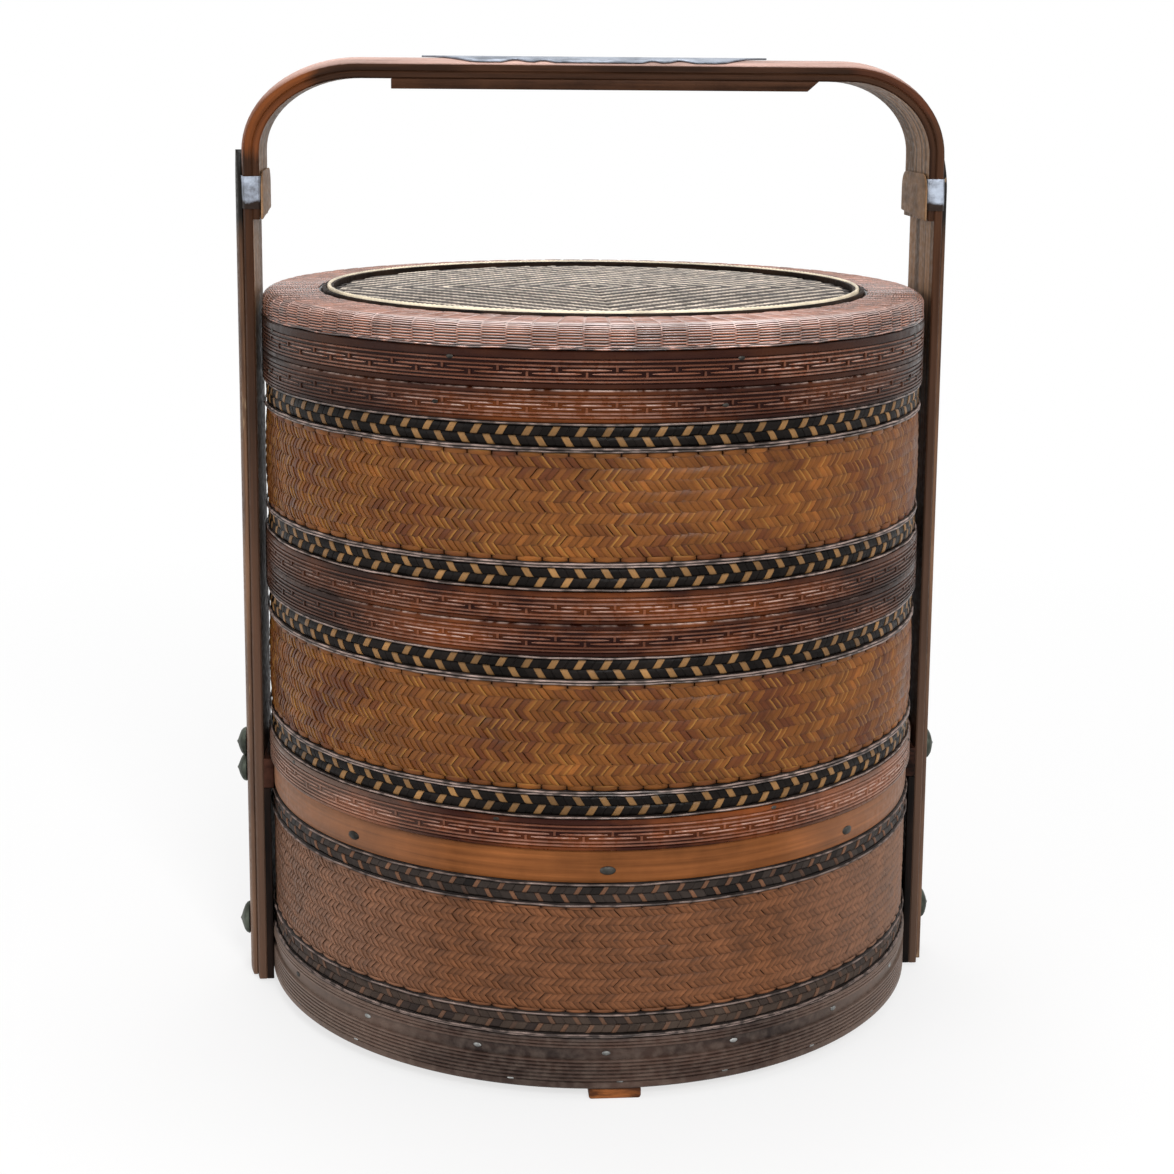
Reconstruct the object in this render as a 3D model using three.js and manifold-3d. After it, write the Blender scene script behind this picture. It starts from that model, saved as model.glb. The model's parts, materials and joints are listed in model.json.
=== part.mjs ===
// Three-tier round bamboo stacking basket with a lid and a bentwood carrying frame.
// Millimetres, +Z up. The origin is on the ground under the middle of the basket,
// the carrying frame spans left to right along X and the front faces -Y.

import * as THREE from 'three';
import { mergeVertices } from 'three/addons/utils/BufferGeometryUtils.js';
import Module from 'manifold-3d';

const wasm = await Module();
wasm.setup();

// Clearance between neighbouring pieces, and the sides of every round piece.
const CLEARANCE = 0.3;
const RING_SIDES = 32;
const STUD_SIDES = 12;

// Round walls: a board liner carries hoops, braids, canes and woven walls outside it.
const LINER_INNER_RADIUS = 169;
const LINER_WALL = 5;
const FLOOR_THICKNESS = 5;
const COLLAR_RISE = 10;
const HOOP_WALL = 5.7;
const PLAIN_HOOP_WALL = 3.9;
const BRAID_WALL = 4.3;
const WEAVE_WALL = 4.0;
const CANE_WALL = 5.3;
const HOOP_CHAMFER = 0.8;

// Heights of the bands on the middle and top tiers.
const HOOP_HEIGHT = 15.5;
const THIN_CANE_HEIGHT = 1.3;
const BRAID_HEIGHT = 9.7;
const DOUBLE_CANE_HEIGHT = 2.5;
const WEAVE_HEIGHT = 52.2;

// Heights of the bands on the base tier, which has a tall grooved foot and a plain rim.
const FOOT_HOOP_HEIGHT = 26;
const FOOT_GROOVE_HEIGHT = 5;
const FOOT_GROOVE_DEPTH = 1.2;
const FOOT_GROOVE_DROP = 5.2;
const FOOT_CANE_HEIGHT = 2;
const BASE_BRAID_HEIGHT = 8.5;
const BASE_CANE_HEIGHT = 1.7;
const BASE_WEAVE_HEIGHT = 54.4;
const RIM_HOOP_HEIGHT = 16.5;

// Lid: a rim hoop, a wicker shoulder round a board, and a woven panel inside two rings.
const LID_HOOP_HEIGHT = 18;
const LID_BOARD_THICKNESS = 5;
const SHOULDER_WIDTH = 32.2;
const SHOULDER_RISE = 8;
const SHOULDER_ROUND = 6;
const SHOULDER_ROUND_STEPS = 3;
const PANEL_EDGE = 4.6;
const PANEL_DOME = 1.5;
const GOLD_RING_WIDTH = 3.4;
const DARK_RING_WIDTH = 2.5;
const RING_RISE = 7.6;

// Crossed runners under the base.
const RUNNER_WIDTH = 26;
const RUNNER_HEIGHT = 6;
const RUNNER_INSET = 2;

// Bent carrying frame: a crowned bow from foot to foot over a flat inner ply.
const ARM_WIDTH = 58;
const ARM_GAP = 2;
const ARM_FOOT = 1.5;
const BOW_EDGE = 4.2;
const BOW_CROWN = 3;
const INNER_PLY = 3.6;
const INNER_PLY_TAIL = 5.5;
const HAND_GAP = 115.3;
const LEFT_BEND_REACH = 56;
const RIGHT_BEND_REACH = 49;
const BEND_RISE = 43;
const BEND_STEPS = 9;

// Strips, plates and bands on the frame.
const SLIP_WIDTH = 40;
const SLIP_THICKNESS = 2.2;
const SLIP_OVERRUN = 1;
const SLIP_POINT = 20;
const SLIP_TIP = 3;
const BAND_DROP = 12;
const BAND_HEIGHT = 17;
const BAND_WALL = 0.8;
const CHEEK_HEIGHT = 25;
const CHEEK_THICKNESS = 3.5;
const CHEEK_ROUND = 9;
const GRIP_SLIP_LENGTH = 226;
const GRIP_SLIP_OFFSET = 4;
const GRIP_SLIP_THICKNESS = 5;
const GRIP_SLIP_SLANT = 6;
const GRIP_PLATE_LENGTH = 186;
const GRIP_PLATE_WIDTH = 54;
const GRIP_PLATE_THICKNESS = 0.9;
const GRIP_PLATE_OGEE = 24;
const GRIP_PLATE_STEPS = 8;
const GRIP_PLATE_TIP = 4;

// Iron studs that pin the arms to the base tier.
const SHANK_RADIUS = 2.5;
const SHANK_SHORTFALL = 1;
const SHANK_ROOT = 1;
const STUD_RADIUS = 9;
const STUD_RISE = 5.5;
const STUD_FACETS = [[0.86, 0.36], [0.42, 0.76]];
const LOBE_RADIUS = 8;
const LOBE_SPACING = 15;
const UPPER_STUD_LIFT = 2;
const LOWER_STUD_HEIGHT = 20;

// Sizes that follow from the ones above.
const LINER_RADIUS = LINER_INNER_RADIUS + LINER_WALL;
const WALL_RADIUS = LINER_RADIUS + CLEARANCE;
const TIER_RADIUS = WALL_RADIUS + HOOP_WALL;
const RIM_HOOP_RADIUS = WALL_RADIUS + PLAIN_HOOP_WALL;
const BOW_INNER = TIER_RADIUS + ARM_GAP;
const ARM_HALF = ARM_WIDTH / 2;

const lacquer = material(0x3d261b, 0.45);
const footLacquer = material(0x4a4039, 0.6);
const weave = material(0x8f5a2c, 0.6);
const agedWeave = material(0x74503a, 0.7);
const braid = material(0x2f2b25, 0.6);
const cane = material(0xb7a27f, 0.6);
const board = material(0xa88a5e, 0.7);
const plainBamboo = material(0xa26c3d, 0.5);
const wicker = material(0x6d4a3a, 0.7);
const darkWeave = material(0x574b40, 0.7);
const goldCane = material(0xd8b36c, 0.45);
const bentwood = material(0x6a4029, 0.5);
const darkWood = material(0x2c1f19, 0.6);
const silveredMetal = material(0xa9b4c4, 0.35, 0.85);
const iron = material(0x3a3d3e, 0.5, 0.8);

const basket = new THREE.Group();

function material(color, roughness, metalness = 0) {
  return new THREE.MeshStandardMaterial({ color, roughness, metalness });
}

function add(group, name, geometry, finish) {
  const mesh = new THREE.Mesh(geometry, finish);
  mesh.name = name;
  group.add(mesh);
  return mesh;
}

// Joining and cutting

function solidOf(geometry) {
  const bare = geometry.clone();
  bare.deleteAttribute('normal');
  bare.deleteAttribute('uv');
  const merged = mergeVertices(bare, 1e-4);
  const index = Array.from(merged.index.array);
  const triangles = [];
  for (let i = 0; i < index.length; i += 3) {
    const [a, b, c] = index.slice(i, i + 3);
    if (a !== b && b !== c && c !== a) triangles.push(a, b, c);
  }
  return new wasm.Manifold(new wasm.Mesh({
    numProp: 3,
    vertProperties: new Float32Array(merged.attributes.position.array),
    triVerts: new Uint32Array(triangles),
  }));
}

function geometryOf(solid) {
  const { vertProperties, triVerts, numProp } = solid.getMesh();
  const positions = [];
  for (let i = 0; i < vertProperties.length; i += numProp) {
    positions.push(vertProperties[i], vertProperties[i + 1], vertProperties[i + 2]);
  }
  const geometry = new THREE.BufferGeometry();
  geometry.setAttribute('position', new THREE.Float32BufferAttribute(positions, 3));
  geometry.setIndex(Array.from(triVerts));
  geometry.computeVertexNormals();
  return geometry;
}

function cut(geometry, ...tools) {
  let solid = solidOf(geometry);
  for (const tool of tools) solid = solid.subtract(solidOf(tool));
  return geometryOf(solid);
}

function join(geometry, ...others) {
  let solid = solidOf(geometry);
  for (const other of others) solid = solid.add(solidOf(other));
  return geometryOf(solid);
}

// Shape helpers

// A body of revolution about Z from [radius, height] points, counter-clockwise.
function revolve(points, sides = RING_SIDES) {
  const profile = points.map(([radius, height]) => new THREE.Vector2(radius, height));
  return new THREE.LatheGeometry(profile, sides).rotateX(Math.PI / 2);
}

function ring(points) {
  return revolve([...points, points[0]]);
}

function plainRing(inner, outer, bottom, top) {
  return ring([[inner, bottom], [outer, bottom], [outer, top], [inner, top]]);
}

function disc(radius, bottom, top) {
  return revolve([[0, bottom], [radius, bottom], [radius, top], [0, top]]);
}

function chamferedHoop(inner, outer, bottom, top) {
  const bevel = HOOP_CHAMFER;
  return ring([
    [inner, bottom], [outer - bevel, bottom], [outer, bottom + bevel],
    [outer, top - bevel], [outer - bevel, top], [inner, top],
  ]);
}

function groovedHoop(inner, outer, bottom, top) {
  const bevel = HOOP_CHAMFER;
  const grooveTop = top - FOOT_GROOVE_DROP;
  const grooveBottom = grooveTop - FOOT_GROOVE_HEIGHT;
  const grooveFloor = outer - FOOT_GROOVE_DEPTH;
  return ring([
    [inner, bottom], [outer - bevel, bottom], [outer, bottom + bevel],
    [outer, grooveBottom], [grooveFloor, grooveBottom + FOOT_GROOVE_DEPTH],
    [grooveFloor, grooveTop - FOOT_GROOVE_DEPTH], [outer, grooveTop],
    [outer, top - bevel], [outer - bevel, top], [inner, top],
  ]);
}

function caneRing(inner, outer, bottom, top) {
  const round = (top - bottom) / 2;
  const middle = (bottom + top) / 2;
  return ring([
    [inner, bottom], [outer - round, bottom], [outer, middle], [outer - round, top], [inner, top],
  ]);
}

// Places [across, out] points of a section at a station along the frame.
function sectionAt({ x, z, nx, nz }, outline) {
  return outline.map(([across, out]) => [x + nx * out, across, z + nz * out]);
}

// A solid strip through stations along the frame. Each station has its own outline, with
// as many [across, out] points as the others, counter-clockwise.
function strip(stations, outlines) {
  const count = outlines[0].length;
  const last = (stations.length - 1) * count;
  const positions = stations.flatMap((station, i) => sectionAt(station, outlines[i]).flat());
  const index = [];
  for (let base = 0; base < last; base += count) {
    for (let i = 0; i < count; i += 1) {
      const [a, b] = [base + i, base + ((i + 1) % count)];
      index.push(a, b, b + count, a, b + count, a + count);
    }
  }
  for (const [a, b, c] of trianglesOf(outlines[0])) index.push(a, c, b);
  for (const [a, b, c] of trianglesOf(outlines.at(-1))) index.push(last + a, last + b, last + c);
  const geometry = new THREE.BufferGeometry();
  geometry.setAttribute('position', new THREE.Float32BufferAttribute(positions, 3));
  geometry.setIndex(index);
  geometry.computeVertexNormals();
  return geometry;
}

function trianglesOf(outline) {
  return THREE.ShapeUtils.triangulateShape(outline.map(([u, v]) => new THREE.Vector2(u, v)), []);
}

// Extrudes a drawing of [u, v] points so that u, v and the depth run along three axes.
function extrude(shape, depth, [u, v, w]) {
  const geometry = new THREE.ExtrudeGeometry(shape, { depth, bevelEnabled: false, curveSegments: 6 });
  return geometry.applyMatrix4(new THREE.Matrix4().makeBasis(u, v, w));
}

function polygon(points) {
  return new THREE.Shape(points.map(([u, v]) => new THREE.Vector2(u, v)));
}

const X = new THREE.Vector3(1, 0, 0);
const Y = new THREE.Vector3(0, 1, 0);
const Z = new THREE.Vector3(0, 0, 1);
const UPRIGHT_ACROSS = [Y, Z, X];
const UPRIGHT_ALONG = [X, Z, Y.clone().negate()];
const FLAT = [X, Y, Z];

// A round bar along X, for shanks and for the tools that bore their holes.
function roundBar(radius, fromX, toX, height) {
  const bar = new THREE.CylinderGeometry(radius, radius, toX - fromX, STUD_SIDES);
  return bar.rotateZ(-Math.PI / 2).translate((fromX + toX) / 2, 0, height);
}

// Tiers

// Each band is a ring outside the liner, stacked from the bottom with a clearance between.
const upperTierBands = [
  ['bottom_hoop', HOOP_HEIGHT, HOOP_WALL, chamferedHoop, lacquer],
  ['bottom_cane', THIN_CANE_HEIGHT, CANE_WALL, caneRing, cane],
  ['lower_braid', BRAID_HEIGHT, BRAID_WALL, plainRing, braid],
  ['lower_cane', DOUBLE_CANE_HEIGHT, CANE_WALL, caneRing, cane],
  ['woven_wall', WEAVE_HEIGHT, WEAVE_WALL, plainRing, weave],
  ['upper_cane', DOUBLE_CANE_HEIGHT, CANE_WALL, caneRing, cane],
  ['upper_braid', BRAID_HEIGHT, BRAID_WALL, plainRing, braid],
  ['top_cane', THIN_CANE_HEIGHT, CANE_WALL, caneRing, cane],
  ['top_hoop', HOOP_HEIGHT, HOOP_WALL, chamferedHoop, lacquer],
];

const baseTierBands = [
  ['foot_hoop', FOOT_HOOP_HEIGHT, HOOP_WALL, groovedHoop, footLacquer],
  ['bottom_cane', FOOT_CANE_HEIGHT, CANE_WALL, caneRing, cane],
  ['lower_braid', BASE_BRAID_HEIGHT, BRAID_WALL, plainRing, braid],
  ['lower_cane', BASE_CANE_HEIGHT, CANE_WALL, caneRing, cane],
  ['woven_wall', BASE_WEAVE_HEIGHT, WEAVE_WALL, plainRing, agedWeave],
  ['upper_cane', BASE_CANE_HEIGHT, CANE_WALL, caneRing, cane],
  ['upper_braid', BASE_BRAID_HEIGHT, BRAID_WALL, plainRing, braid],
  ['top_cane', THIN_CANE_HEIGHT, CANE_WALL, caneRing, cane],
  ['rim_hoop', RIM_HOOP_HEIGHT, PLAIN_HOOP_WALL, chamferedHoop, plainBamboo],
];

function bandsHeight(bands) {
  const heights = bands.map(([, height]) => height);
  return heights.reduce((sum, height) => sum + height + CLEARANCE, -CLEARANCE);
}

const STUD_BORE = SHANK_RADIUS + CLEARANCE;
const BASE_BOTTOM = RUNNER_HEIGHT + CLEARANCE;
const BASE_TOP = BASE_BOTTOM + bandsHeight(baseTierBands);
const RIM_HOOP_BOTTOM = BASE_TOP - RIM_HOOP_HEIGHT;
const UPPER_STUD_Z = BASE_TOP - RIM_HOOP_HEIGHT / 2 + UPPER_STUD_LIFT;
const LOWER_STUD_Z = BASE_BOTTOM + LOWER_STUD_HEIGHT;
const studHeights = { foot_hoop: LOWER_STUD_Z, rim_hoop: UPPER_STUD_Z };

// Bores both sides of a hoop that the studs pin.
function boredHoop(hoop, height) {
  const reach = TIER_RADIUS + HOOP_WALL;
  const right = roundBar(STUD_BORE, LINER_INNER_RADIUS, reach, height);
  const left = roundBar(STUD_BORE, -reach, -LINER_INNER_RADIUS, height);
  return cut(hoop, right, left);
}

// A tier whose floor stands a little above its lowest edge, so that its hoop
// fits down over the collar of the tier below.
function addTier(name, bands, bottom, seatDepth) {
  const group = new THREE.Group();
  let level = bottom;
  for (const [band, height, wall, form, finish] of bands) {
    let geometry = form(WALL_RADIUS, WALL_RADIUS + wall, level, level + height);
    if (studHeights[band]) geometry = boredHoop(geometry, studHeights[band]);
    add(group, `${name}_${band}`, geometry, finish);
    level += height + CLEARANCE;
  }
  const top = level - CLEARANCE;
  const floorBottom = bottom + seatDepth;
  const floorTop = floorBottom + FLOOR_THICKNESS;
  add(group, `${name}_floor`, disc(LINER_RADIUS, floorBottom, floorTop), board);
  const liner = plainRing(LINER_INNER_RADIUS, LINER_RADIUS, floorTop + CLEARANCE, top + COLLAR_RISE);
  add(group, `${name}_liner`, liner, board);
  basket.add(group);
  return top;
}

const SEAT_DEPTH = COLLAR_RISE + CLEARANCE;
addTier('base', baseTierBands, BASE_BOTTOM, 0);
const middleTop = addTier('middle', upperTierBands, BASE_TOP + CLEARANCE, SEAT_DEPTH);
const topTop = addTier('top', upperTierBands, middleTop + CLEARANCE, SEAT_DEPTH);

// Lid

const LID_BOTTOM = topTop + CLEARANCE;
const LID_HOOP_TOP = LID_BOTTOM + LID_HOOP_HEIGHT;
const LID_BOARD_BOTTOM = LID_HOOP_TOP + CLEARANCE;
const LID_BOARD_TOP = LID_BOARD_BOTTOM + LID_BOARD_THICKNESS;
const LID_BED = LID_BOARD_TOP + CLEARANCE;
const SHOULDER_INNER = TIER_RADIUS - SHOULDER_WIDTH;
const DARK_RING_OUTER = SHOULDER_INNER - CLEARANCE;
const DARK_RING_INNER = DARK_RING_OUTER - DARK_RING_WIDTH;
const GOLD_RING_OUTER = DARK_RING_INNER - CLEARANCE;
const GOLD_RING_INNER = GOLD_RING_OUTER - GOLD_RING_WIDTH;
const PANEL_RADIUS = GOLD_RING_INNER - CLEARANCE;
const LID_TOP = LID_BED + RING_RISE;

// The wicker shoulder stands on the rim hoop, rolls over and lies on the board.
function wickerShoulder() {
  const roundBottom = LID_BED + SHOULDER_RISE - SHOULDER_ROUND;
  const roundCentre = TIER_RADIUS - SHOULDER_ROUND;
  const rolled = [];
  for (let i = 0; i <= SHOULDER_ROUND_STEPS; i += 1) {
    const angle = (i / SHOULDER_ROUND_STEPS) * (Math.PI / 2);
    const across = SHOULDER_ROUND * Math.cos(angle);
    const up = SHOULDER_ROUND * Math.sin(angle);
    rolled.push([roundCentre + across, roundBottom + up]);
  }
  return ring([
    [WALL_RADIUS, LID_BOARD_BOTTOM], [TIER_RADIUS, LID_BOARD_BOTTOM], ...rolled,
    [SHOULDER_INNER, LID_TOP], [SHOULDER_INNER, LID_BED], [WALL_RADIUS, LID_BED],
  ]);
}

// A low dome, which at half its radius has three quarters of its rise.
function wovenPanel() {
  const edgeTop = LID_BED + PANEL_EDGE;
  return revolve([
    [0, LID_BED], [PANEL_RADIUS, LID_BED], [PANEL_RADIUS, edgeTop],
    [PANEL_RADIUS / 2, edgeTop + PANEL_DOME * 0.75], [0, edgeTop + PANEL_DOME],
  ]);
}

function addLid() {
  const group = new THREE.Group();
  const coreBottom = LID_BOTTOM + SEAT_DEPTH;
  const goldTop = LID_TOP + GOLD_RING_WIDTH / 2;
  add(group, 'lid_rim_hoop', chamferedHoop(WALL_RADIUS, TIER_RADIUS, LID_BOTTOM, LID_HOOP_TOP), lacquer);
  add(group, 'lid_core_ring', plainRing(LINER_INNER_RADIUS, LINER_RADIUS, coreBottom, LID_HOOP_TOP), board);
  add(group, 'lid_board', disc(LINER_RADIUS, LID_BOARD_BOTTOM, LID_BOARD_TOP), board);
  add(group, 'lid_wicker_shoulder', wickerShoulder(), wicker);
  add(group, 'lid_dark_ring', plainRing(DARK_RING_INNER, DARK_RING_OUTER, LID_BED, LID_TOP), darkWood);
  add(group, 'lid_gold_ring', ring([
    [GOLD_RING_INNER, LID_BED], [GOLD_RING_OUTER, LID_BED], [GOLD_RING_OUTER, LID_TOP],
    [(GOLD_RING_INNER + GOLD_RING_OUTER) / 2, goldTop], [GOLD_RING_INNER, LID_TOP],
  ]), goldCane);
  add(group, 'lid_woven_panel', wovenPanel(), darkWeave);
  basket.add(group);
}

addLid();

// Carrying frame

const ARCH_Z = LID_TOP + HAND_GAP;
const BEND_Z = ARCH_Z - BEND_RISE;
const BAND_TOP = BEND_Z - BAND_DROP;
const BAND_BOTTOM = BAND_TOP - BAND_HEIGHT;
const INNER_PLY_END = BAND_BOTTOM - INNER_PLY_TAIL;
const PLY_INNER_FACE = -CLEARANCE - INNER_PLY;
const BAND_SPACE = CLEARANCE + BAND_WALL + CLEARANCE;
const SLIP_FACE = BOW_EDGE + BAND_SPACE;

// Rise of the crowned outer face of the bow at a distance from the middle of its width.
function crownAt(across) {
  return BOW_CROWN * (1 - (across / ARM_HALF) ** 2);
}

// Stations along the inner face of the bow, from the left foot over the arch to the right
// foot. Each has its place in XZ and the outward direction there.
function bowStations(footZ) {
  const stations = [{ x: -BOW_INNER, z: footZ, nx: -1, nz: 0 }];
  const bend = (side, reach, step) => {
    const angle = (step / BEND_STEPS) * (Math.PI / 2);
    const centreX = side * (BOW_INNER - reach);
    const slope = new THREE.Vector2(side * Math.cos(angle) / reach, Math.sin(angle) / BEND_RISE);
    slope.normalize();
    stations.push({
      x: centreX + side * reach * Math.cos(angle),
      z: BEND_Z + BEND_RISE * Math.sin(angle),
      nx: slope.x,
      nz: slope.y,
    });
  };
  for (let step = 0; step <= BEND_STEPS; step += 1) bend(-1, LEFT_BEND_REACH, step);
  for (let step = BEND_STEPS; step >= 0; step -= 1) bend(1, RIGHT_BEND_REACH, step);
  stations.push({ x: BOW_INNER, z: footZ, nx: 1, nz: 0 });
  return stations;
}

// A section whose outer face follows the crown. The inner face is flat or follows it too.
function crownedOutline(half, inner, outer, innerFollows) {
  const across = [-1, -0.5, 0, 0.5, 1].map((share) => share * half);
  const insideRow = innerFollows ? across : [-half, half];
  const inside = insideRow.map((y) => [y, inner + (innerFollows ? crownAt(y) : 0)]);
  const outside = across.toReversed().map((y) => [y, outer + crownAt(y)]);
  return [...inside, ...outside];
}

function flatOutline(half, inner, outer) {
  return [[-half, inner], [half, inner], [half, outer], [-half, outer]];
}

// A station on the right arm, at a height. Sections run downwards there.
function armStation(z) {
  return { x: BOW_INNER, z, nx: 1, nz: 0 };
}

// Tools that bore the stud holes right through an arm.
const ARM_REACH = BOW_INNER + SLIP_FACE + BOW_CROWN + SLIP_THICKNESS + STUD_RISE;
const armBores = [UPPER_STUD_Z, LOWER_STUD_Z].map((z) => roundBar(STUD_BORE, LINER_RADIUS, ARM_REACH, z));
const leftArmBores = armBores.map((tool) => tool.clone().rotateZ(Math.PI));

function handleBow() {
  const stations = bowStations(ARM_FOOT);
  const outline = crownedOutline(ARM_HALF, 0, BOW_EDGE, false);
  const bow = strip(stations, stations.map(() => outline));
  return cut(bow, ...armBores, ...leftArmBores);
}

function innerPly() {
  const stations = bowStations(INNER_PLY_END);
  const outline = flatOutline(ARM_HALF, PLY_INNER_FACE, -CLEARANCE);
  return strip(stations, stations.map(() => outline));
}

// A slip on the outside of the right arm, drawn to a point above the shoulder.
function outerSlip() {
  const top = BEND_Z + SLIP_OVERRUN;
  const outlineOf = (half) => crownedOutline(half, SLIP_FACE, SLIP_FACE + SLIP_THICKNESS, true);
  const stations = [top, top - SLIP_POINT, ARM_FOOT].map(armStation);
  const outlines = [SLIP_TIP, SLIP_WIDTH, SLIP_WIDTH].map((width) => outlineOf(width / 2));
  return cut(strip(stations, outlines), ...armBores);
}

// A metal sleeve round the bow and the inner ply at the right shoulder.
function shoulderBand() {
  const sleeve = (grow, over) => {
    const outline = crownedOutline(ARM_HALF + grow, PLY_INNER_FACE - grow, BOW_EDGE + grow, false);
    const stations = [BAND_TOP + over, BAND_BOTTOM - over].map(armStation);
    return strip(stations, [outline, outline]);
  };
  return cut(sleeve(CLEARANCE + BAND_WALL, 0), sleeve(CLEARANCE, BAND_HEIGHT));
}

// A plate that covers the end of the inner ply, with round upper corners.
function shoulderCheek() {
  const round = Math.min(CHEEK_ROUND, CHEEK_HEIGHT / 2);
  const shape = new THREE.Shape();
  shape.moveTo(-ARM_HALF, 0);
  shape.lineTo(ARM_HALF, 0);
  shape.lineTo(ARM_HALF, CHEEK_HEIGHT - round);
  shape.absarc(ARM_HALF - round, CHEEK_HEIGHT - round, round, 0, Math.PI / 2);
  shape.lineTo(round - ARM_HALF, CHEEK_HEIGHT);
  shape.absarc(round - ARM_HALF, CHEEK_HEIGHT - round, round, Math.PI / 2, Math.PI);
  const outerFace = BOW_INNER + PLY_INNER_FACE - BAND_SPACE;
  return extrude(shape, CHEEK_THICKNESS, UPRIGHT_ACROSS)
    .translate(outerFace - CHEEK_THICKNESS, 0, INNER_PLY_END);
}

// A block between the right arm and a round wall of the base tier.
function armPacking(wallRadius, bottom, top, boreZ) {
  const seat = wallRadius + CLEARANCE;
  const reach = Math.asin(ARM_HALF / seat);
  const shape = new THREE.Shape();
  shape.moveTo(seat * Math.cos(reach), ARM_HALF);
  shape.absarc(0, 0, seat, reach, -reach, true);
  shape.lineTo(BOW_INNER - CLEARANCE, -ARM_HALF);
  shape.lineTo(BOW_INNER - CLEARANCE, ARM_HALF);
  const block = extrude(shape, top - bottom, FLAT).translate(0, 0, bottom);
  return cut(block, roundBar(STUD_BORE, LINER_INNER_RADIUS, BOW_INNER + BOW_EDGE, boreZ));
}

function packingSlip() {
  return armPacking(TIER_RADIUS, ARM_FOOT, RIM_HOOP_BOTTOM - CLEARANCE, LOWER_STUD_Z);
}

function spacerBlock() {
  return armPacking(RIM_HOOP_RADIUS, RIM_HOOP_BOTTOM, BASE_TOP, UPPER_STUD_Z);
}

// A domed head that stands up from zero along +X, in facets given as shares of its radius
// and rise. The points before it can draw a shank.
function domedHead(radius, shank = [[0, 0]]) {
  const dome = STUD_FACETS.map(([across, up]) => [radius * across, STUD_RISE * up]);
  return revolve([...shank, [radius, 0], ...dome, [0, STUD_RISE]], STUD_SIDES).rotateY(Math.PI / 2);
}

const STUD_TIP = WALL_RADIUS + SHANK_SHORTFALL;
const STUD_SEAT = BOW_INNER + SLIP_FACE + BOW_CROWN + SLIP_THICKNESS + CLEARANCE;
const SHANK_LENGTH = STUD_SEAT - STUD_TIP;

function stud(z) {
  const shank = [[0, -SHANK_LENGTH], [SHANK_RADIUS, -SHANK_LENGTH], [SHANK_RADIUS, 0]];
  return domedHead(STUD_RADIUS, shank).translate(STUD_SEAT, 0, z);
}

// Two domes one above the other on a single shank.
function lobedStud(z) {
  const lobe = domedHead(LOBE_RADIUS).translate(STUD_SEAT, 0, z);
  const upper = lobe.clone().translate(0, 0, LOBE_SPACING / 2);
  const lower = lobe.translate(0, 0, -LOBE_SPACING / 2);
  const shank = roundBar(SHANK_RADIUS, STUD_TIP, STUD_SEAT + SHANK_ROOT, z);
  return join(upper, lower, shank);
}

// A slip under the grip, square at the left end and slanted at the right end.
function gripUnderSlip() {
  const top = ARCH_Z + PLY_INNER_FACE - CLEARANCE;
  const bottom = top - GRIP_SLIP_THICKNESS;
  const left = GRIP_SLIP_OFFSET - GRIP_SLIP_LENGTH / 2;
  const right = GRIP_SLIP_OFFSET + GRIP_SLIP_LENGTH / 2;
  const side = polygon([[left, bottom], [right - GRIP_SLIP_SLANT, bottom], [right, top], [left, top]]);
  return extrude(side, ARM_WIDTH, UPRIGHT_ALONG).translate(0, ARM_HALF, 0);
}

// A thin plate over the crown of the grip, with an ogee drawn to a tip at each end.
function gripPlate() {
  const inner = BOW_EDGE + CLEARANCE;
  const half = GRIP_PLATE_LENGTH / 2;
  const ogee = (share) => (1 - Math.cos(share * Math.PI)) / 2;
  const leftEnd = [];
  for (let step = 0; step <= GRIP_PLATE_STEPS; step += 1) {
    const share = step / GRIP_PLATE_STEPS;
    const width = GRIP_PLATE_TIP + (GRIP_PLATE_WIDTH - GRIP_PLATE_TIP) * ogee(share);
    leftEnd.push({ x: share * GRIP_PLATE_OGEE - half, width });
  }
  const rightEnd = leftEnd.toReversed().map(({ x, width }) => ({ x: -x, width }));
  const places = [...leftEnd, ...rightEnd];
  const outlineOf = (width) => crownedOutline(width / 2, inner, inner + GRIP_PLATE_THICKNESS, true);
  return strip(
    places.map(({ x }) => ({ x, z: ARCH_Z, nx: 0, nz: 1 })),
    places.map(({ width }) => outlineOf(width)),
  );
}

// A runner with a half-lap in the middle, cut from above or from below.
function runnerSide(lapFromTop) {
  const half = TIER_RADIUS - RUNNER_INSET;
  const lap = RUNNER_WIDTH / 2 + CLEARANCE;
  const lapZ = RUNNER_HEIGHT / 2 + (lapFromTop ? -CLEARANCE / 2 : CLEARANCE / 2);
  const [lapped, plain] = lapFromTop ? [RUNNER_HEIGHT, 0] : [0, RUNNER_HEIGHT];
  return polygon([
    [-half, plain], [half, plain], [half, lapped], [lap, lapped], [lap, lapZ],
    [-lap, lapZ], [-lap, lapped], [-half, lapped],
  ]);
}

function footRunner() {
  return extrude(runnerSide(true), RUNNER_WIDTH, UPRIGHT_ACROSS).translate(-RUNNER_WIDTH / 2, 0, 0);
}

function crossRunner() {
  return extrude(runnerSide(false), RUNNER_WIDTH, UPRIGHT_ALONG).translate(0, RUNNER_WIDTH / 2, 0);
}

// Everything on one arm is drawn on the right and turned half round for the left.
function addArmPieces(group, side) {
  const turn = side === 'left' ? Math.PI : 0;
  const place = (name, geometry, finish) => {
    add(group, `${side}_${name}`, geometry, finish).rotation.z = turn;
  };
  place('outer_slip', outerSlip(), bentwood);
  place('shoulder_band', shoulderBand(), silveredMetal);
  place('shoulder_cheek', shoulderCheek(), bentwood);
  place('packing_slip', packingSlip(), darkWood);
  place('spacer_block', spacerBlock(), bentwood);
  place('upper_stud', side === 'left' ? lobedStud(UPPER_STUD_Z) : stud(UPPER_STUD_Z), iron);
  place('lower_stud', stud(LOWER_STUD_Z), iron);
}

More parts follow.
